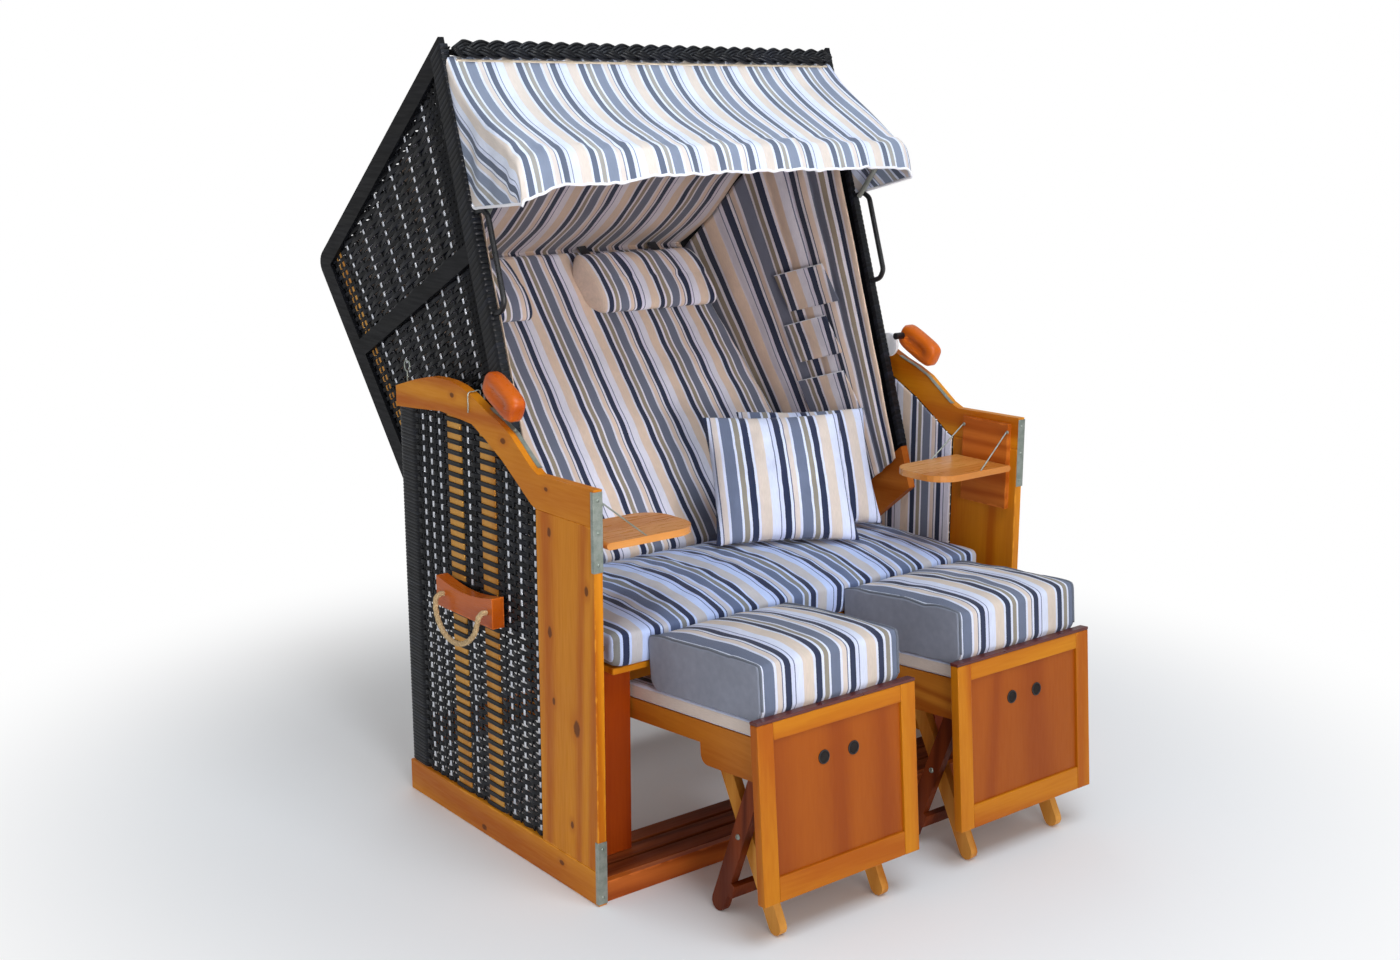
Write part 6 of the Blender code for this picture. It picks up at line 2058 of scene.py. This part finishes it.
@dataclass
class SmallMetal:
    """Pull handles, the awning bow, the screw eye, the wire clip, arm strips and bolts."""

    arm_middle: float = 0.578
    strip_ends: tuple[float, float] = (-0.225, -0.052)
    eye_place: float = 0.708
    eye_radius: float = 0.0115
    clip_place: float = 0.430

    def build(self, nodes: Nodes) -> None:
        """Dresses the bent bars and adds the small metal parts."""
        for side in Side:
            dress(nodes, f"pull_handle_{side.label}", BLACK_PAINT)
            self.strip_arm(side)
            self.bolt_legs(side)
        dress(nodes, "awning_bow", STEEL)
        self.turn_eye()
        self.clip_wire()

    @staticmethod
    def arm_top(y: Floats) -> Floats:
        """Height of the arm's upper edge at places along the base, read from the model."""
        graph = bpy.context.evaluated_depsgraph_get()
        node = bpy.data.objects["arm_left"].evaluated_get(graph)
        tree = BVHTree.FromObject(bpy.data.objects["arm_left"], graph)
        inverse = node.matrix_world.inverted()
        heights = []
        for place in np.asarray(y):
            start = inverse @ Vector((-0.580, float(place), 1.5))
            hit = tree.ray_cast(start, inverse.to_3x3() @ Vector((0.0, 0.0, -1.0)))
            heights.append((node.matrix_world @ hit[0]).z if hit[0] is not None else 0.9)
        return np.array(heights)

    def strip_arm(self, side: Side) -> None:
        """A thin galvanised strip along the slanting part of the arm's upper edge."""
        y = np.linspace(*self.strip_ends, 60)
        z = self.arm_top(y)
        x = np.full_like(y, side.value * 0.5722)
        line = np.stack([x, y, z + 0.0009], axis=1)[None]
        slope = np.gradient(line[0], axis=0)
        slope /= np.linalg.norm(slope, axis=1, keepdims=True)
        out = np.stack([np.zeros(60), -slope[:, 2], slope[:, 1]], axis=1)
        flat = np.array(((-0.5, -0.5), (-0.5, 0.5), (0.5, 0.5), (0.5, -0.5))) * (0.0095, 0.0014)
        strip = bars(line, ACROSS, out[None], flat)
        new_piece(f"arm_strip_{side.label}", strip, STEEL, "base")
        spots = (8, 30, 52)
        heads = [screw(line[0, k] + 0.0008 * out[k], out[k], 0.0032) for k in spots]
        new_piece(f"arm_strip_screws_{side.label}", joined(heads), STEEL, "base")

    def turn_eye(self) -> None:
        """A screw eye on the left arm's crown: a shank and an open ring."""
        y = self.eye_place + BASE_FRONT
        top = float(self.arm_top(np.array((y,)))[0])
        turn = np.linspace(-0.5 * math.pi, 1.25 * math.pi, 40)
        centre = np.array((-self.arm_middle, y, top + 0.036))
        ring = centre + self.eye_radius * np.stack([0 * turn, np.cos(turn), np.sin(turn)], axis=1)
        shank = np.array([(-self.arm_middle, y, top - 0.006 + k * 0.004) for k in range(8)])
        new_piece(
            "screw_eye", tube(np.vstack([shank, ring]), 0.0019, 10), STEEL, "base")

    def clip_wire(self) -> None:
        """A wire clip that goes over the left arm and hangs a little down its outside."""
        y = self.clip_place + BASE_FRONT
        top = float(self.arm_top(np.array((y,)))[0])
        knots = [
            (-0.5655, y, top - 0.03), (-0.5660, y, top + 0.0032), (-0.580, y + 0.001, top + 0.0042),
            (-0.5925, y + 0.002, top + 0.001), (-0.5928, y + 0.003, top - 0.022),
            (-0.5928, y + 0.004, top - 0.038)]
        new_piece(
            "wire_clip", tube(curve_through(knots, 0.002), 0.0013, 8), STEEL, "base")

    @staticmethod
    def bolt_legs(side: Side) -> None:
        """Round bolt heads on the outer faces of the folding legs and their frame."""
        for leg in ("leg_front", "leg_rear"):
            low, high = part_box(f"{leg}_{side.label}")
            body = f"{'front' if leg == 'leg_front' else 'rear'}_legs_{side.label}"
            middle = (low + high) / 2
            heads = [
                screw(
                    np.array((x, middle.y, middle.z)),
                    np.array((math.copysign(1.0, x - middle.x), 0, 0)), 0.006)
                for x in (low.x - 0.0002, high.x + 0.0002)]
            new_piece(f"{leg}_bolts_{side.label}", joined(heads), STEEL, body)


# Studio


@dataclass
class Studio:
    """Camera at the photograph's angle, pale floor and soft lamps."""

    place: Point = (-2.2685, -2.8644, 1.5109)
    tilt: float = 77.31
    turn: float = -38.34
    lens: float = 42.757
    floor_radius: float = 7.0

    def build(self) -> None:
        """Sets up the camera, the floor, the world and the lamps."""
        self.set_camera()
        self.lay_floor()
        self.light_world()
        self.hang_lamp("key", (-0.3, -2.3, 4.4), 2.2, 92.0, (0.80, 0.90, 1.0))
        self.hang_lamp("fill", (-1.4, -4.6, 1.3), 2.4, 62.0, (1.0, 0.95, 0.92))
        self.hang_lamp(
            "inside", (-1.3, -4.4, 1.25), 0.9, 2.0, (1.0, 0.95, 0.94), (0.0, 0.25, 1.14), 26.0)
        self.hang_lamp("rear", (1.2, 2.8, 3.6), 3.0, 30.0, (0.90, 0.95, 1.0))
        bpy.context.scene.view_settings.view_transform = "Standard"

    def set_camera(self) -> None:
        """The photograph's view."""
        data = bpy.data.cameras.new("camera")
        data.lens, data.sensor_width = self.lens, 36.0
        camera = bpy.data.objects.new("camera", data)
        camera.location = self.place
        camera.rotation_euler = (math.radians(self.tilt), 0.0, math.radians(self.turn))
        bpy.context.scene.collection.objects.link(camera)
        bpy.context.scene.camera = camera

    def lay_floor(self) -> None:
        """A pale disc that turns to plain white away from the chair for the camera alone."""
        turn = np.linspace(0, 2 * math.pi, 96, endpoint=False)
        ring = np.stack([np.cos(turn), np.sin(turn), np.zeros(96)], axis=1) * self.floor_radius
        mesh = bpy.data.meshes.new("floor")
        mesh.from_pydata(ring.tolist(), [], [list(range(96))])
        material = bpy.data.materials.new("floor")
        material.use_nodes = True
        graph = Graph(material.node_tree)
        shader = material.node_tree.nodes["Principled BSDF"]
        shader.inputs["Base Color"].default_value = (0.86, 0.86, 0.865, 1.0)
        shader.inputs["Roughness"].default_value = 0.9
        white = graph.put("ShaderNodeEmission", {"Color": (1.0, 1.0, 1.0), "Strength": 1.0})
        away = graph.vector(
            "LENGTH", graph.vector("MULTIPLY", graph.object_place(), (1.0, 1.0, 0.0)))
        share = graph.spread(away, 0.9, 2.0)
        seen = graph.put("ShaderNodeLightPath").outputs["Is Camera Ray"]
        mixed = graph.put("ShaderNodeMixShader")
        graph.wire(mixed.inputs[0], graph.maths("MULTIPLY", share, seen))
        graph.wire(mixed.inputs[1], shader.outputs[0])
        graph.wire(mixed.inputs[2], white.outputs[0])
        graph.wire(material.node_tree.nodes["Material Output"].inputs["Surface"], mixed.outputs[0])
        mesh.materials.append(material)
        floor = bpy.data.objects.new("floor", mesh)
        bpy.context.scene.collection.objects.link(floor)

    @staticmethod
    def light_world() -> None:
        """White for the camera, a soft even light otherwise."""
        world = bpy.data.worlds.new("studio")
        world.use_nodes = True
        graph = Graph(world.node_tree)
        path = graph.put("ShaderNodeLightPath").outputs
        seen = graph.maths("MAXIMUM", path["Is Camera Ray"], path["Is Transmission Ray"])
        strength = graph.maths("MULTIPLY_ADD", seen, 0.48, 0.52)
        back = world.node_tree.nodes["Background"]
        back.inputs["Color"].default_value = (1.0, 1.0, 1.0, 1.0)
        graph.wire(back.inputs["Strength"], strength)
        bpy.context.scene.world = world

    @staticmethod
    def hang_lamp(
            name: str, place: Point, size: float, power: float, tint: Colour,
            aim: Point = (0.0, 0.0, 0.7), spread: float = 180.0) -> None:
        """A square soft lamp that points at a place of the chair; a grid in front of it
        keeps its light within the spread in degrees."""
        data = bpy.data.lights.new(name, "AREA")
        data.size, data.energy, data.color = size, power, tint
        data.spread = math.radians(spread)
        lamp = bpy.data.objects.new(name, data)
        lamp.location = place
        lamp.rotation_euler = (Vector(aim) - Vector(place)).to_track_quat("-Z", "Y").to_euler()
        bpy.context.scene.collection.objects.link(lamp)


def main() -> None:
    """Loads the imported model, dresses it part by part and reports each piece."""
    logging.basicConfig(level=logging.INFO, format="%(message)s")
    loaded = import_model()
    nodes = loaded["nodes"]
    Studio().build()
    for side in Side:
        RopeHandle(side).build(nodes)
        BaseSide(side).build(nodes)
        SideTable(side).build(nodes)
        HoodSide(side).build(nodes)
    Step().build(nodes)
    HoodShell().build()
    HoodLining().build()
    Backrest().build()
    SeatCushion().build()
    Pillow("pillow_front", 0.327, (0.103, 0.2446, 0.5615), 0.322).build()
    Pillow("pillow_rear", 0.314, (0.275, 0.3395, 0.5555), 0.306).build()
    Awning().build()
    for side in Side:
        Footrest(side).build(nodes)
        Grip(side).build()
    SmallMetal().build(nodes)


if __name__ == "__main__":
    main()
